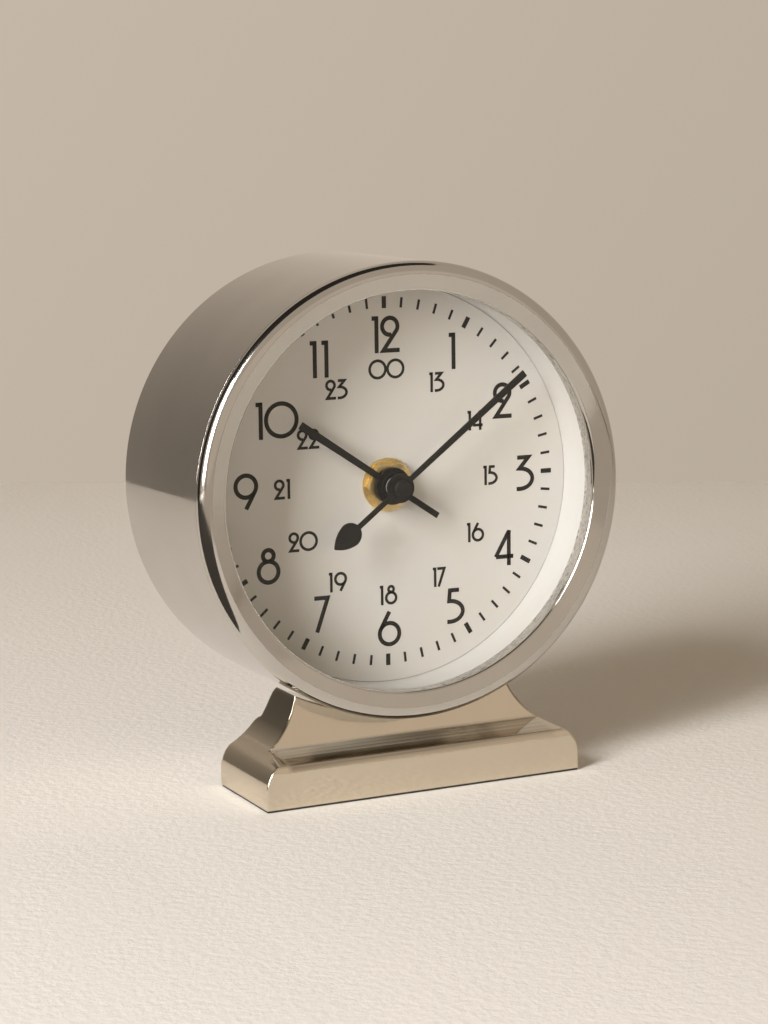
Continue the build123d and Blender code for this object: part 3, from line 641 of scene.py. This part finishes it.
def turned(name, outline):
    """Piece turned about the drum's axis, from points given as radius and height ahead of the dial."""
    steps = settings().case.turn_steps
    verts, faces = [], []
    count = len(outline)
    for step in range(steps):
        angle = 2 * math.pi * step / steps
        for radius, height in outline:
            x = radius * math.cos(angle)
            z = AXIS_Z + radius * math.sin(angle)
            verts.append((x, DIAL_Y - height, z))
    for step in range(steps):
        here, there = step * count, (step + 1) % steps * count
        for index in range(count):
            nearby = (index + 1) % count
            faces.append((here + index, here + nearby, there + nearby, there + index))
    piece = new_piece(name, verts, faces)
    smooth(piece)
    return piece


def softened(node, width, sharp=SHARP):
    """Merged copy of a solid with its sharp edges rounded, where a width is given."""
    source = NODES[node].data
    verts = [vertex.co.copy() for vertex in source.vertices]
    faces = [tuple(face.vertices) for face in source.polygons]
    piece = new_piece(node + "_finished", verts, faces)
    work = bmesh.new()
    work.from_mesh(piece.data)
    bmesh.ops.dissolve_limit(work, angle_limit=math.radians(0.4), verts=work.verts, edges=work.edges)
    work.to_mesh(piece.data)
    work.free()
    if width:
        bevel = piece.modifiers.new("Edges", "BEVEL")
        bevel.width = width
        bevel.segments = 2
        bevel.limit_method = "ANGLE"
        bevel.angle_limit = math.radians(sharp)
        bevel.use_clamp_overlap = True
        settle(piece)
    smooth(piece, sharp)
    return piece


# Numerals drawn as strokes, in units of their height


def arc(x, y, across, up, start, end, steps=28):
    """Points on part of an ellipse, angles in degrees."""
    points = []
    for step in range(steps + 1):
        angle = math.radians(start + (end - start) * step / steps)
        points.append((x + across * math.cos(angle), y + up * math.sin(angle)))
    return points


def ring(x, y, radius):
    """Points on a full circle."""
    return arc(x, y, radius, radius, 0, 360, 56)


def six(stroke):
    """Round bowl with a straight stem that leaves it at the left."""
    reach = 0.355 - stroke / 2
    lean = math.radians(151.0)
    touch = (0.355 + reach * math.cos(lean), 0.355 + reach * math.sin(lean))
    stem_top = (touch[0] + 0.6 * math.sin(lean), touch[1] - 0.6 * math.cos(lean))
    rise = (1.0 - stroke * 0.25 - touch[1]) / (stem_top[1] - touch[1])
    top = (touch[0] + (stem_top[0] - touch[0]) * rise, touch[1] + (stem_top[1] - touch[1]) * rise)
    return [ring(0.355, 0.355, reach), [touch, top]], 0.71


def digit(figure, stroke):
    """Strokes of one figure and its width."""
    half = stroke / 2
    low, high = half, 1.0 - half
    if figure == "0":
        return [ring(0.485, 0.5, 0.5 - half)], 0.97
    if figure == "1":
        stem = 0.21 - half
        return [[(stem, 0.0), (stem, 1.0)], [(0.01, high), (stem, high)]], 0.21
    if figure == "2":
        reach = 0.288 - half
        loop = arc(0.288, 1.0 - 0.288, reach, reach, 282, -28, 44)
        return [loop + [(half * 1.5, low), (0.575, low)]], 0.575
    if figure == "3":
        bowl = arc(0.10, 0.345, 0.45 - half, 0.345 - half, 90, -90)
        return [[(0.02, high), (0.37, high), (0.09, 0.69 - half)] + bowl[2:] + [(0.0, low)]], 0.55
    if figure == "4":
        stem = 0.43
        slope = [(0.02, 0.255), (stem - half * 0.1, 0.955)]
        upright = [(stem, 0.0), (stem, 0.90)]
        bar = [(0.03, 0.255), (0.57, 0.255)]
        peak = [(stem - 0.005, 0.9), (stem + 0.02, 0.99)]
        return [slope, upright, bar, peak], 0.57
    if figure == "5":
        bowl = arc(0.09, 0.35, 0.45 - half, 0.35 - half, 90, -90)
        neck = [(0.37, high), (0.03 + half, high), (half, 0.70 - half), (0.09, 0.70 - half)]
        return [neck + bowl[1:] + [(0.0, low)]], 0.54
    if figure == "6":
        return six(stroke)
    if figure == "7":
        return [[(0.0, high), (0.40, high), (0.07, 0.0)]], 0.44
    if figure == "8":
        lower = 0.345 - half
        upper = 0.215 - half
        return [ring(0.345, 0.345, lower), ring(0.345, 1.0 - 0.215, upper)], 0.69
    if figure == "9":
        strokes, width = six(stroke)
        return [[(width - x, 1.0 - y) for x, y in line] for line in strokes], width
    raise ValueError("no strokes for the figure " + figure)


def ribbon(points, width):
    """Left and right sides of a stroke, mitred at its corners."""
    line = [Vector(point) for point in points]
    closed = (line[0] - line[-1]).length < 1e-9
    if closed:
        line.pop()
    sides = []
    for index, point in enumerate(line):
        before = line[index - 1] if closed or index else None
        after = line[(index + 1) % len(line)] if closed or index + 1 < len(line) else None
        way_in = (point - before).normalized() if before is not None else (after - point).normalized()
        way_out = (after - point).normalized() if after is not None else way_in
        normal_in = Vector((-way_in.y, way_in.x))
        normal_out = Vector((-way_out.y, way_out.x))
        mitre = (normal_in + normal_out).normalized()
        spread = width / 2 / max(mitre.dot(normal_in), 0.35)
        sides.append((point + mitre * spread, point - mitre * spread))
    return sides, closed


# Numbers of the print: text, place to the right and upwards from the print's centre, and the gap
# between figures, in millimetres
HOUR_NUMBERS = (
    ("12", 0.35, 37.35, 0.45), ("1", 18.75, 32.3, 0), ("2", 32.9, 18.95, 0), ("3", 39.45, -0.2, 0),
    ("4", 33.2, -19.3, 0), ("5", 19.25, -33.2, 0), ("6", 0.45, -37.45, 0), ("7", -18.1, -32.1, 0),
    ("8", -32.3, -18.8, 0), ("9", -37.9, 0.2, 0), ("10", -29.35, 17.5, 0.45), ("11", -17.8, 31.95, 1.2),
)
SMALL_NUMBERS = (
    ("00", 0.5, 28.65, 0.0), ("13", 14.45, 24.65, 0.5), ("14", 25.1, 14.25, 0.4), ("15", 29.4, -0.1, 0.4),
    ("16", 25.0, -14.55, 0.3), ("17", 14.5, -25.35, 0.25), ("18", 0.3, -28.8, 0.4), ("19", -13.6, -24.3, 0.4),
    ("20", -22.9, -13.3, 0.1), ("21", -28.3, 0.2, 0.4), ("22", -21.1, 12.3, 0.2), ("23", -13.2, 24.25, 0.45),
)


def on_print(right, up, height):
    """Point of the print in the part's frame."""
    dial = settings().dial
    turn = -dial.print_turn
    x = right * math.cos(turn) - up * math.sin(turn) + dial.print_right
    z = right * math.sin(turn) + up * math.cos(turn) + dial.print_up
    return (x, DIAL_Y - height, AXIS_Z + z)


def number_strokes(text, right, up, gap, height, stroke):
    """All strokes of one number, centred on its place."""
    figures = [digit(figure, stroke / height) for figure in text]
    total = sum(width for _, width in figures) * height + gap * (len(figures) - 1)
    left = right - total / 2
    lines = []
    for strokes, width in figures:
        for line in strokes:
            lines.append([(left + x * height, up + (y - 0.5) * height) for x, y in line])
        left += width * height + gap
    return lines


def print_numbers(name, numbers, height, stroke):
    """Raised ink ribbons of a set of numbers, as one mesh."""
    ink = settings().dial.ink_height
    verts, faces = [], []
    for text, right, up, gap in numbers:
        for line in number_strokes(text, right * MM, up * MM, gap * MM, height, stroke):
            sides, closed = ribbon(line, stroke)
            start = len(verts)
            for left_side, right_side in sides:
                for point in (left_side, right_side):
                    verts.append(on_print(point.x, point.y, ink))
                    verts.append(on_print(point.x, point.y, 0.0))
            count = len(sides)
            for index in range(count if closed else count - 1):
                a, b = start + 4 * index, start + 4 * ((index + 1) % count)
                faces += [(a, b, b + 2, a + 2), (a + 1, a + 3, b + 3, b + 1)]
                faces += [(a, a + 1, b + 1, b), (a + 2, b + 2, b + 3, a + 3)]
            if not closed:
                end = start + 4 * (count - 1)
                faces += [(start, start + 2, start + 3, start + 1), (end, end + 1, end + 3, end + 2)]
    return new_piece(name, verts, faces)


# Geometry Nodes


class Tree:
    """A node tree with named inputs that repeats a shape around a circle."""

    def __init__(self, name, inputs):
        self.tree = bpy.data.node_groups.new(name, "GeometryNodeTree")
        self.tree.interface.new_socket("Geometry", in_out="OUTPUT", socket_type="NodeSocketGeometry")
        self.names = {}
        for label, kind in inputs:
            socket = self.tree.interface.new_socket(label, in_out="INPUT", socket_type=kind)
            self.names[label] = socket.identifier
        self.entry = self.tree.nodes.new("NodeGroupInput")
        self.exit = self.tree.nodes.new("NodeGroupOutput")

    def given(self, label):
        return self.entry.outputs[label]

    def add(self, kind, settings=None, sockets=None):
        node = self.tree.nodes.new(kind)
        for key, value in (settings or {}).items():
            setattr(node, key, value)
        for key, value in (sockets or {}).items():
            if isinstance(value, bpy.types.NodeSocket):
                self.tree.links.new(value, node.inputs[key])
            else:
                node.inputs[key].default_value = value
        return node.outputs

    def close(self, geometry):
        self.tree.links.new(geometry, self.exit.inputs[0])

    def grow(self, name, values):
        """Plain mesh that the tree makes from these values."""
        piece = bpy.data.objects.new(name, bpy.data.meshes.new(name))
        bpy.context.scene.collection.objects.link(piece)
        modifier = piece.modifiers.new(name, "NODES")
        modifier.node_group = self.tree
        for label, value in values.items():
            modifier[self.names[label]] = value
        settle(piece)
        return piece


def mark_tree():
    """Bars set round a circle: one in each place, or every place but each fifth one."""
    tree = Tree(
        "Dial marks",
        (
            ("Count", "NodeSocketInt"),
            ("First", "NodeSocketInt"),
            ("Skip each", "NodeSocketInt"),
            ("Radius", "NodeSocketFloat"),
            ("Size", "NodeSocketVector"),
            ("Turn", "NodeSocketVector"),
            ("Place", "NodeSocketVector"),
            ("Finish", "NodeSocketMaterial"),
        ),
    )
    places = {"Vertices": tree.given("Count"), "Radius": tree.given("Radius")}
    circle = tree.add("GeometryNodeMeshCircle", None, places)
    bar = tree.add("GeometryNodeMeshCube", None, {"Size": tree.given("Size")})
    index = tree.add("GeometryNodeInputIndex")
    number = tree.add("ShaderNodeMath", None, {0: index[0], 1: tree.given("First")})
    rest = tree.add("ShaderNodeMath", {"operation": "MODULO"}, {0: number[0], 1: tree.given("Skip each")})
    above = {"data_type": "FLOAT", "operation": "GREATER_THAN"}
    kept = tree.add("FunctionNodeCompare", above, {0: rest[0], 1: 0.5})
    spot = tree.add("GeometryNodeInputPosition")
    lean = tree.add("FunctionNodeAlignRotationToVector", {"axis": "X"}, {"Vector": spot[0]})
    bars = tree.add(
        "GeometryNodeInstanceOnPoints",
        None,
        {"Points": circle[0], "Selection": kept[0], "Instance": bar[0], "Rotation": lean[0]},
    )
    flat = tree.add("GeometryNodeTransform", None, {"Geometry": bars[0], "Rotation": tree.given("Turn")})
    moved = tree.add("GeometryNodeTransform", None, {"Geometry": flat[0], "Translation": tree.given("Place")})
    real = tree.add("GeometryNodeRealizeInstances", None, {"Geometry": moved[0]})
    done = tree.add("GeometryNodeSetMaterial", None, {"Geometry": real[0], "Material": tree.given("Finish")})
    tree.close(done[0])
    return tree


# Operators, one for each piece or group of like pieces


class CLOCK_OT_case(bpy.types.Operator):
    """Turn the drum and the bezel ring"""

    bl_idname = "drum_clock.case"
    bl_label = "Drum and bezel"

    def execute(self, context):
        case = settings().case
        back, front = ahead("case_drum")
        bore = DRUM_RADIUS - case.drum_wall
        drum = turned(
            "drum_shell",
            rounded((
                (bore, back, 0.2 * MM),
                (DRUM_RADIUS, back, case.drum_edge),
                (DRUM_RADIUS, front, 0.06 * MM),
                (bore, front, 0.0),
            )),
        )
        dress(drum, "polished_case", CASE, "case_drum")

        skirt_back, crown = ahead("bezel_ring")
        glass_front = ahead("lens_glass")[1]
        opening = DRUM_RADIUS - case.bezel_width
        rebate = half_width("lens_glass") + RUNNING_GAP
        collar_back = ahead("rehaut_ring")[1] - RING_GRIP
        skirt = bore - RUNNING_GAP
        base = front + SEAT_GAP
        round_centre = DRUM_RADIUS - case.bezel_round
        outline = [
            (opening, glass_front + SEAT_GAP),
            (rebate, glass_front + SEAT_GAP),
            (rebate, collar_back),
            (rebate + BEZEL_SHEET, collar_back),
            (rebate + BEZEL_SHEET, base),
            (skirt - BEZEL_SHEET, base),
            (skirt - BEZEL_SHEET, skirt_back),
            (skirt, skirt_back),
            (skirt, base),
            (DRUM_RADIUS - 0.05 * MM, base),
            (DRUM_RADIUS, base + 0.05 * MM),
        ]
        outline += arc(round_centre, crown - case.bezel_rise, case.bezel_round, case.bezel_rise, 0, 90, 24)
        lip_centre = crown - case.bezel_dish - case.lip_round
        outline += arc(opening + case.lip_round, lip_centre, case.lip_round, case.lip_round, 90, 180, 8)
        bezel = turned("bezel_polished", outline)
        dress(bezel, "polished_case", CASE, "bezel_ring")
        return {"FINISHED"}


class CLOCK_OT_glass(bpy.types.Operator):
    """Lay the glass in the bezel, clear with a ground rim"""

    bl_idname = "drum_clock.glass"
    bl_label = "Glass"

    def execute(self, context):
        back, front = ahead("lens_glass")
        radius = half_width("lens_glass")
        clear = radius - settings().case.ground_edge
        pane = turned("glass_pane", [(0.0, back), (clear, back), (clear, front), (0.0, front)])
        dress(pane, "clear_glass", CASE, "lens_glass")
        rim = turned(
            "glass_ground_rim",
            rounded((
                (clear + 0.01 * MM, back, 0.0),
                (radius, back, 0.15 * MM),
                (radius, front, 0.15 * MM),
                (clear + 0.01 * MM, front, 0.0),
            ), 4),
        )
        dress(rim, "clear_glass", CASE, finish="ground_glass")
        return {"FINISHED"}


class CLOCK_OT_dial(bpy.types.Operator):
    """Make the white ring and the dial with its print"""

    bl_idname = "drum_clock.dial"
    bl_label = "Dial"

    def execute(self, context):
        dial = settings().dial
        back, front = ahead("rehaut_ring")
        collar = half_width("rehaut_ring")
        wall = collar - RING_STEP
        bore = half_width("dial_plate") + RUNNING_GAP
        flange = bore - RING_FLANGE_WIDTH
        flange_front = back + RING_FLANGE_THICKNESS
        ring_piece = turned(
            "white_ring_smooth",
            rounded((
                (flange, back, 0.1 * MM),
                (wall, back, 0.2 * MM),
                (wall, front - RING_GRIP, 0.0),
                (collar, front - RING_GRIP, 0.05 * MM),
                (collar, front, 0.05 * MM),
                (bore, front, 0.25 * MM),
                (bore, flange_front, 0.0),
                (flange, flange_front, 0.0),
            ), 5),
        )
        dress(ring_piece, "white_ring", CASE, "rehaut_ring")

        plate_back, plate_front = ahead("dial_plate")
        rim = half_width("dial_plate")
        plate = turned(
            "dial_painted",
            rounded((
                (DIAL_HOLE, plate_back, 0.0),
                (rim, plate_back, 0.05 * MM),
                (rim, plate_front, 0.05 * MM),
                (DIAL_HOLE, plate_front, 0.03 * MM),
            ), 3),
        )
        dress(plate, "dial_paint", CASE, "dial_plate")

        hours = print_numbers("hour_numerals", HOUR_NUMBERS, dial.numeral_height, dial.numeral_stroke)
        small = print_numbers("small_numerals", SMALL_NUMBERS, dial.small_height, dial.small_stroke)
        for numerals in (hours, small):
            dress(numerals, "dial_paint", CASE, finish="ink")

        tree = mark_tree()
        common = {
            "Radius": dial.mark_radius,
            "Turn": (math.pi / 2, dial.print_turn, 0.0),
            "Place": on_print(0.0, 0.0, dial.ink_height / 2),
            "Finish": finish_of("ink"),
        }
        hour_bar = (dial.hour_mark_length, dial.hour_mark_width, dial.ink_height)
        minute_bar = (dial.minute_mark_length, dial.minute_mark_width, dial.ink_height)
        # A step longer than the count skips no hour, and each fifth minute is left to the hours
        hours_only = {"Count": 12, "First": 1, "Skip each": 13, "Size": hour_bar}
        minutes_only = {"Count": 60, "First": 0, "Skip each": 5, "Size": minute_bar}
        hour_marks = tree.grow("hour_marks", {**hours_only, **common})
        minute_marks = tree.grow("minute_marks", {**minutes_only, **common})
        for marks in (hour_marks, minute_marks):
            dress(marks, "dial_paint", CASE, finish="ink")
        return {"FINISHED"}


class CLOCK_OT_hub(bpy.types.Operator):
    """Finish the washer, the nut and the bush on the dial"""

    bl_idname = "drum_clock.hub"
    bl_label = "Washer, nut and bush"

    def execute(self, context):
        width = settings().edges.small_metal
        for node in ("brass_washer", "hex_nut", "threaded_bush"):
            dress(softened(node, width), "brass", CASE, node)
        return {"FINISHED"}


class CLOCK_OT_hands(bpy.types.Operator):
    """Finish the hands with their collets and cap"""

    bl_idname = "drum_clock.hands"
    bl_label = "Hands"

    def execute(self, context):
        width = settings().edges.hands
        groups = {
            "hour_group": ("hour_hand", "hour_collet"),
            "minute_group": ("minute_hand", "minute_collet", "hand_cap"),
        }
        for body, nodes in groups.items():
            for node in nodes:
                dress(softened(node, width), "black_hands", body, node)
        return {"FINISHED"}


class CLOCK_OT_pedestal(bpy.types.Operator):
    """Finish the stepped pedestal"""

    bl_idname = "drum_clock.pedestal"
    bl_label = "Pedestal"

    def execute(self, context):
        dress(softened("pedestal", 0.0, PEDESTAL_SHARP), "polished_pedestal", CASE, "pedestal")
        dress(softened("pedestal_pad", settings().edges.pad), "black_rubber", CASE, "pedestal_pad")
        return {"FINISHED"}


class CLOCK_OT_back(bpy.types.Operator):
    """Finish the back cover, its lugs and screws, the movement's case and its knob"""

    bl_idname = "drum_clock.back"
    bl_label = "Back"

    def execute(self, context):
        edges = settings().edges
        for node, body in (("back_cover", CASE), ("movement_case", CASE), ("setting_knob", "setting_group")):
            dress(softened(node, edges.mouldings), "black_plastic", body, node)
        for node in ("back_cover_screws", "cover_lugs"):
            dress(softened(node, edges.small_metal), "steel", CASE, node)
        dress(softened("battery", edges.small_metal), "cell_jacket", "battery_body", "battery")
        return {"FINISHED"}


class CLOCK_OT_inner(bpy.types.Operator):
    """Give every solid the finish of its slot"""

    bl_idname = "drum_clock.inner"
    bl_label = "Solids"

    def execute(self, context):
        for row in frame["record"]["subparts"]:
            node = NODES[row["node"]]
            node.data.materials.clear()
            node.data.materials.append(finish_of(row["material_slot"]))
        return {"FINISHED"}


class CLOCK_OT_stage(bpy.types.Operator):
    """Set the floor, the wall, the light and the camera"""

    bl_idname = "drum_clock.stage"
    bl_label = "Stage"

    def execute(self, context):
        stage = settings().stage
        scene = context.scene
        scene.view_settings.view_transform = "Standard"
        make_camera(scene, stage)
        make_floor(stage)
        make_wall(stage)
        make_world(scene, stage)
        make_lamps(scene, stage)
        make_cards(stage)
        return {"FINISHED"}


# Camera place and axes, which the photograph's ellipses and edges give
CAMERA_PLACE = Vector((-0.2811, -0.61865, 0.17457))
CAMERA_RIGHT = Vector((0.90994, -0.41391, -0.02612))
CAMERA_UP = Vector((0.08728, 0.12953, 0.98772))
CAMERA_BACK = Vector((-0.40545, -0.90105, 0.15399))


def make_camera(scene, stage):
    """Camera at the photograph's place."""
    data = bpy.data.cameras.new("camera")
    data.lens = stage.focal
    data.sensor_width = 36.0
    data.sensor_fit = "AUTO"
    data.clip_start = 0.01
    camera = bpy.data.objects.new("camera", data)
    turn = Matrix((CAMERA_RIGHT, CAMERA_UP, CAMERA_BACK)).transposed().to_4x4()
    camera.matrix_world = Matrix.Translation(CAMERA_PLACE) @ turn
    scene.collection.objects.link(camera)
    scene.camera = camera


def plane(name, corners, material):
    """Flat piece of the stage."""
    mesh = bpy.data.meshes.new(name)
    mesh.from_pydata(corners, [], [(0, 1, 2, 3)])
    mesh.materials.append(material)
    sheet = bpy.data.objects.new(name, mesh)
    bpy.context.scene.collection.objects.link(sheet)
    return sheet


# Back edge of the floor, which looks level from the camera
FLOOR_EDGE = (Vector((0.0678, 0.5832, 0.0)), Vector((0.3537, 0.38536, 0.0)))
FLOOR_ALONG = (FLOOR_EDGE[1] - FLOOR_EDGE[0]).normalized()
FLOOR_TOWARDS = Vector((FLOOR_ALONG.y, -FLOOR_ALONG.x, 0.0))

# Reach of the floor and the wall, in metres
FLOOR_SIDE, FLOOR_FRONT = 4.0, 6.0
WALL_SIDE, WALL_BEHIND, WALL_BELOW, WALL_ABOVE = 3.0, 0.5, 1.0, 3.0


def make_floor(stage):
    """Pale floor with a fine emboss."""
    finish = Finish("pale floor", roughness=0.7)
    spot = finish.place()
    cloud = finish.noise(spot, 5.0, 4.0)
    emboss = finish.noise(spot, 420.0, 3.0, 0.6)
    finish.set(
        base_color=finish.blend(finish.stretch(cloud, 0.3, 0.75), stage.floor, shade(stage.floor, 0.97)),
        normal=finish.bump(emboss, 0.3, 0.0008),
    )
    left = FLOOR_EDGE[0] - FLOOR_ALONG * FLOOR_SIDE
    right = FLOOR_EDGE[1] + FLOOR_ALONG * FLOOR_SIDE
    front = FLOOR_TOWARDS * FLOOR_FRONT
    plane("floor", [left + front, right + front, right, left], finish.material)


def make_wall(stage):
    """Pale wall behind the floor's edge, glowing at its own tone with painted light that is brighter to the
    left and higher up.
    """
    finish = Finish("pale wall", roughness=0.8)
    spot = finish.place()
    cloud = finish.noise(spot, 3.0, 3.0)
    x, _, z = finish.parts(spot)
    # Painted light: the wall's tone is raised to the left and higher up, and the wall glows with it for the
    # camera, mirrors and glass
    sideways = finish.stretch(x, 0.05, 0.75, 0.62, 0.22)
    upwards = finish.stretch(z, -0.1, 0.5, 0.0, 0.2)
    painted_wall_light = finish.blend(sideways + upwards + cloud * 0.04, shade(stage.wall, 0.8), shade(stage.wall, 1.2))
    finish.set(base_color=painted_wall_light)
    body = Wire(finish, finish.shader.outputs[0])
    glow = finish.node("ShaderNodeEmission", None, {"Color": painted_wall_light})
    finish.end(finish.node("ShaderNodeMixShader", None, {0: finish.seen(), 1: body, 2: glow}))
    left = FLOOR_EDGE[0] - FLOOR_ALONG * WALL_SIDE - FLOOR_TOWARDS * WALL_BEHIND
    right = FLOOR_EDGE[1] + FLOOR_ALONG * WALL_SIDE - FLOOR_TOWARDS * WALL_BEHIND
    below = Vector((0.0, 0.0, -WALL_BELOW))
    above = Vector((0.0, 0.0, WALL_ABOVE))
    plane("wall", [left + below, right + below, right + above, left + above], finish.material)


def make_world(scene, stage):
    """Soft light from all round, with the wall's tone where the world itself is seen."""
    studio = Studio("studio")
    pale = studio.node("ShaderNodeBackground", None, {"Color": stage.wall})
    soft = studio.node(
        "ShaderNodeBackground", None, {"Color": stage.ambient, "Strength": stage.ambient_strength}
    )
    studio.end(studio.node("ShaderNodeMixShader", None, {0: studio.seen(), 1: soft, 2: pale}))
    scene.world = studio.world


# Places of the lamps and the point that both face
KEY_PLACE = (-1.2, -0.64, 0.645)
FILL_PLACE = (0.68, -2.2, 0.55)
FILL_SIZE = (1.5, 1.2)
LAMP_TARGET = Vector((0.0, 0.0, 0.06))


def make_lamp(scene, name, tone, watts, size, place, glossy):
    """Flat lamp turned to the clock, which polished metal may or may not show."""
    data = bpy.data.lights.new(name, "AREA")
    data.shape = "RECTANGLE"
    data.size, data.size_y = size
    data.energy = watts
    data.color = tone
    lamp = bpy.data.objects.new(name, data)
    lamp.location = place
    lamp.rotation_mode = "QUATERNION"
    lamp.rotation_quaternion = (LAMP_TARGET - lamp.location).to_track_quat("-Z", "Y")
    lamp.visible_glossy = glossy
    scene.collection.objects.link(lamp)


def make_lamps(scene, stage):
    """Tall soft lamp at the left and a weak one in front."""
    tall = (stage.key_width, stage.key_height)
    make_lamp(scene, "key", stage.key, stage.key_power, tall, KEY_PLACE, True)
    make_lamp(scene, "fill", stage.fill, stage.fill_power, FILL_SIZE, FILL_PLACE, False)


# Cards that only the polished metal sees: name, levels of the wall's tone at the left and the right
# side, and corners
CARDS = (
    (
        "card_back", 0.23, 1.17,
        ((-0.55, 0.6, 0.0), (0.32, 0.6, 0.0), (0.32, 0.6, 0.6), (-0.55, 0.6, 0.6)),
    ),
    (
        "card_left", 0.06, 0.06,
        ((-0.95, 0.0, 0.0), (-0.70, 0.55, 0.0), (-0.70, 0.55, 0.9), (-0.95, 0.0, 0.9)),
    ),
    (
        "card_floor_left", 0.13, 0.13,
        ((-1.1, -0.8, 0.002), (-0.08, -0.8, 0.002), (-0.08, -0.02, 0.002), (-1.1, 0.6, 0.002)),
    ),
    (
        "card_above", 0.06, 0.06,
        ((-1.0, -0.6, 0.9), (0.5, -0.25, 0.9), (0.5, 0.12, 0.9), (-1.0, 0.75, 0.9)),
    ),
    (
        "card_front", 1.25, 1.25,
        ((-0.9, -1.3, 0.0), (1.1, -1.3, 0.0), (1.1, -1.3, 0.7), (-0.9, -1.3, 0.7)),
    ),
    (
        "card_floor_front", 1.0, 1.0,
        ((-1.0, -1.29, 0.003), (1.2, -1.29, 0.003), (1.2, -0.33, 0.003), (-1.0, -0.33, 0.003)),
    ),
)

# Shares of a card's left and right reach between which its level changes
CARD_LEFT_FADE, CARD_RIGHT_FADE = 0.69, 0.78


def make_cards(stage):
    """Glowing cards for the mirror finishes, which neither the camera nor the matt finishes see."""
    for name, left_level, right_level, corners in CARDS:
        finish = Finish(name)
        spot = finish.place()
        x = finish.parts(spot)[0]
        graded = finish.stretch(x, corners[0][0] * CARD_LEFT_FADE, corners[1][0] * CARD_RIGHT_FADE)
        share = graded ** 0.8 + finish.noise(spot, 14.0) * 0.02
        tone = finish.blend(share, shade(stage.wall, left_level), shade(stage.wall, right_level))
        finish.end(finish.node("ShaderNodeEmission", None, {"Color": tone}))
        card = plane(name, corners, finish.material)
        card.visible_camera = False
        card.visible_diffuse = False
        card.visible_transmission = False
        card.visible_shadow = False


# Panel and registration

OPERATORS = (
    CLOCK_OT_inner,
    CLOCK_OT_case,
    CLOCK_OT_glass,
    CLOCK_OT_dial,
    CLOCK_OT_hub,
    CLOCK_OT_hands,
    CLOCK_OT_pedestal,
    CLOCK_OT_back,
    CLOCK_OT_stage,
)


class CLOCK_PT_panel(bpy.types.Panel):
    """Lists the clock's pieces and settings"""

    bl_idname = "CLOCK_PT_panel"
    bl_label = "Drum Desk Clock"
    bl_space_type = "VIEW_3D"
    bl_region_type = "UI"
    bl_category = PANEL_TAB

    def draw(self, context):
        for operator in OPERATORS:
            self.layout.operator(operator.bl_idname)
        groups = context.scene.drum_clock
        for name in ("case", "dial", "edges", "colours", "stage"):
            box = self.layout.box()
            box.label(text=name.title())
            group = getattr(groups, name)
            for key in group.__annotations__:
                box.prop(group, key)


CLASSES = (
    CaseSettings,
    DialSettings,
    EdgeSettings,
    ColourSettings,
    StageSettings,
    ClockSettings,
    *OPERATORS,
    CLOCK_PT_panel,
)


def register():
    for item in CLASSES:
        bpy.utils.register_class(item)
    bpy.types.Scene.drum_clock = PointerProperty(type=ClockSettings)


def unregister():
    del bpy.types.Scene.drum_clock
    for item in reversed(CLASSES):
        bpy.utils.unregister_class(item)


def main():
    register()
    for operator in OPERATORS:
        group, name = operator.bl_idname.split(".")
        getattr(getattr(bpy.ops, group), name)()


if __name__ == "__main__":
    main()
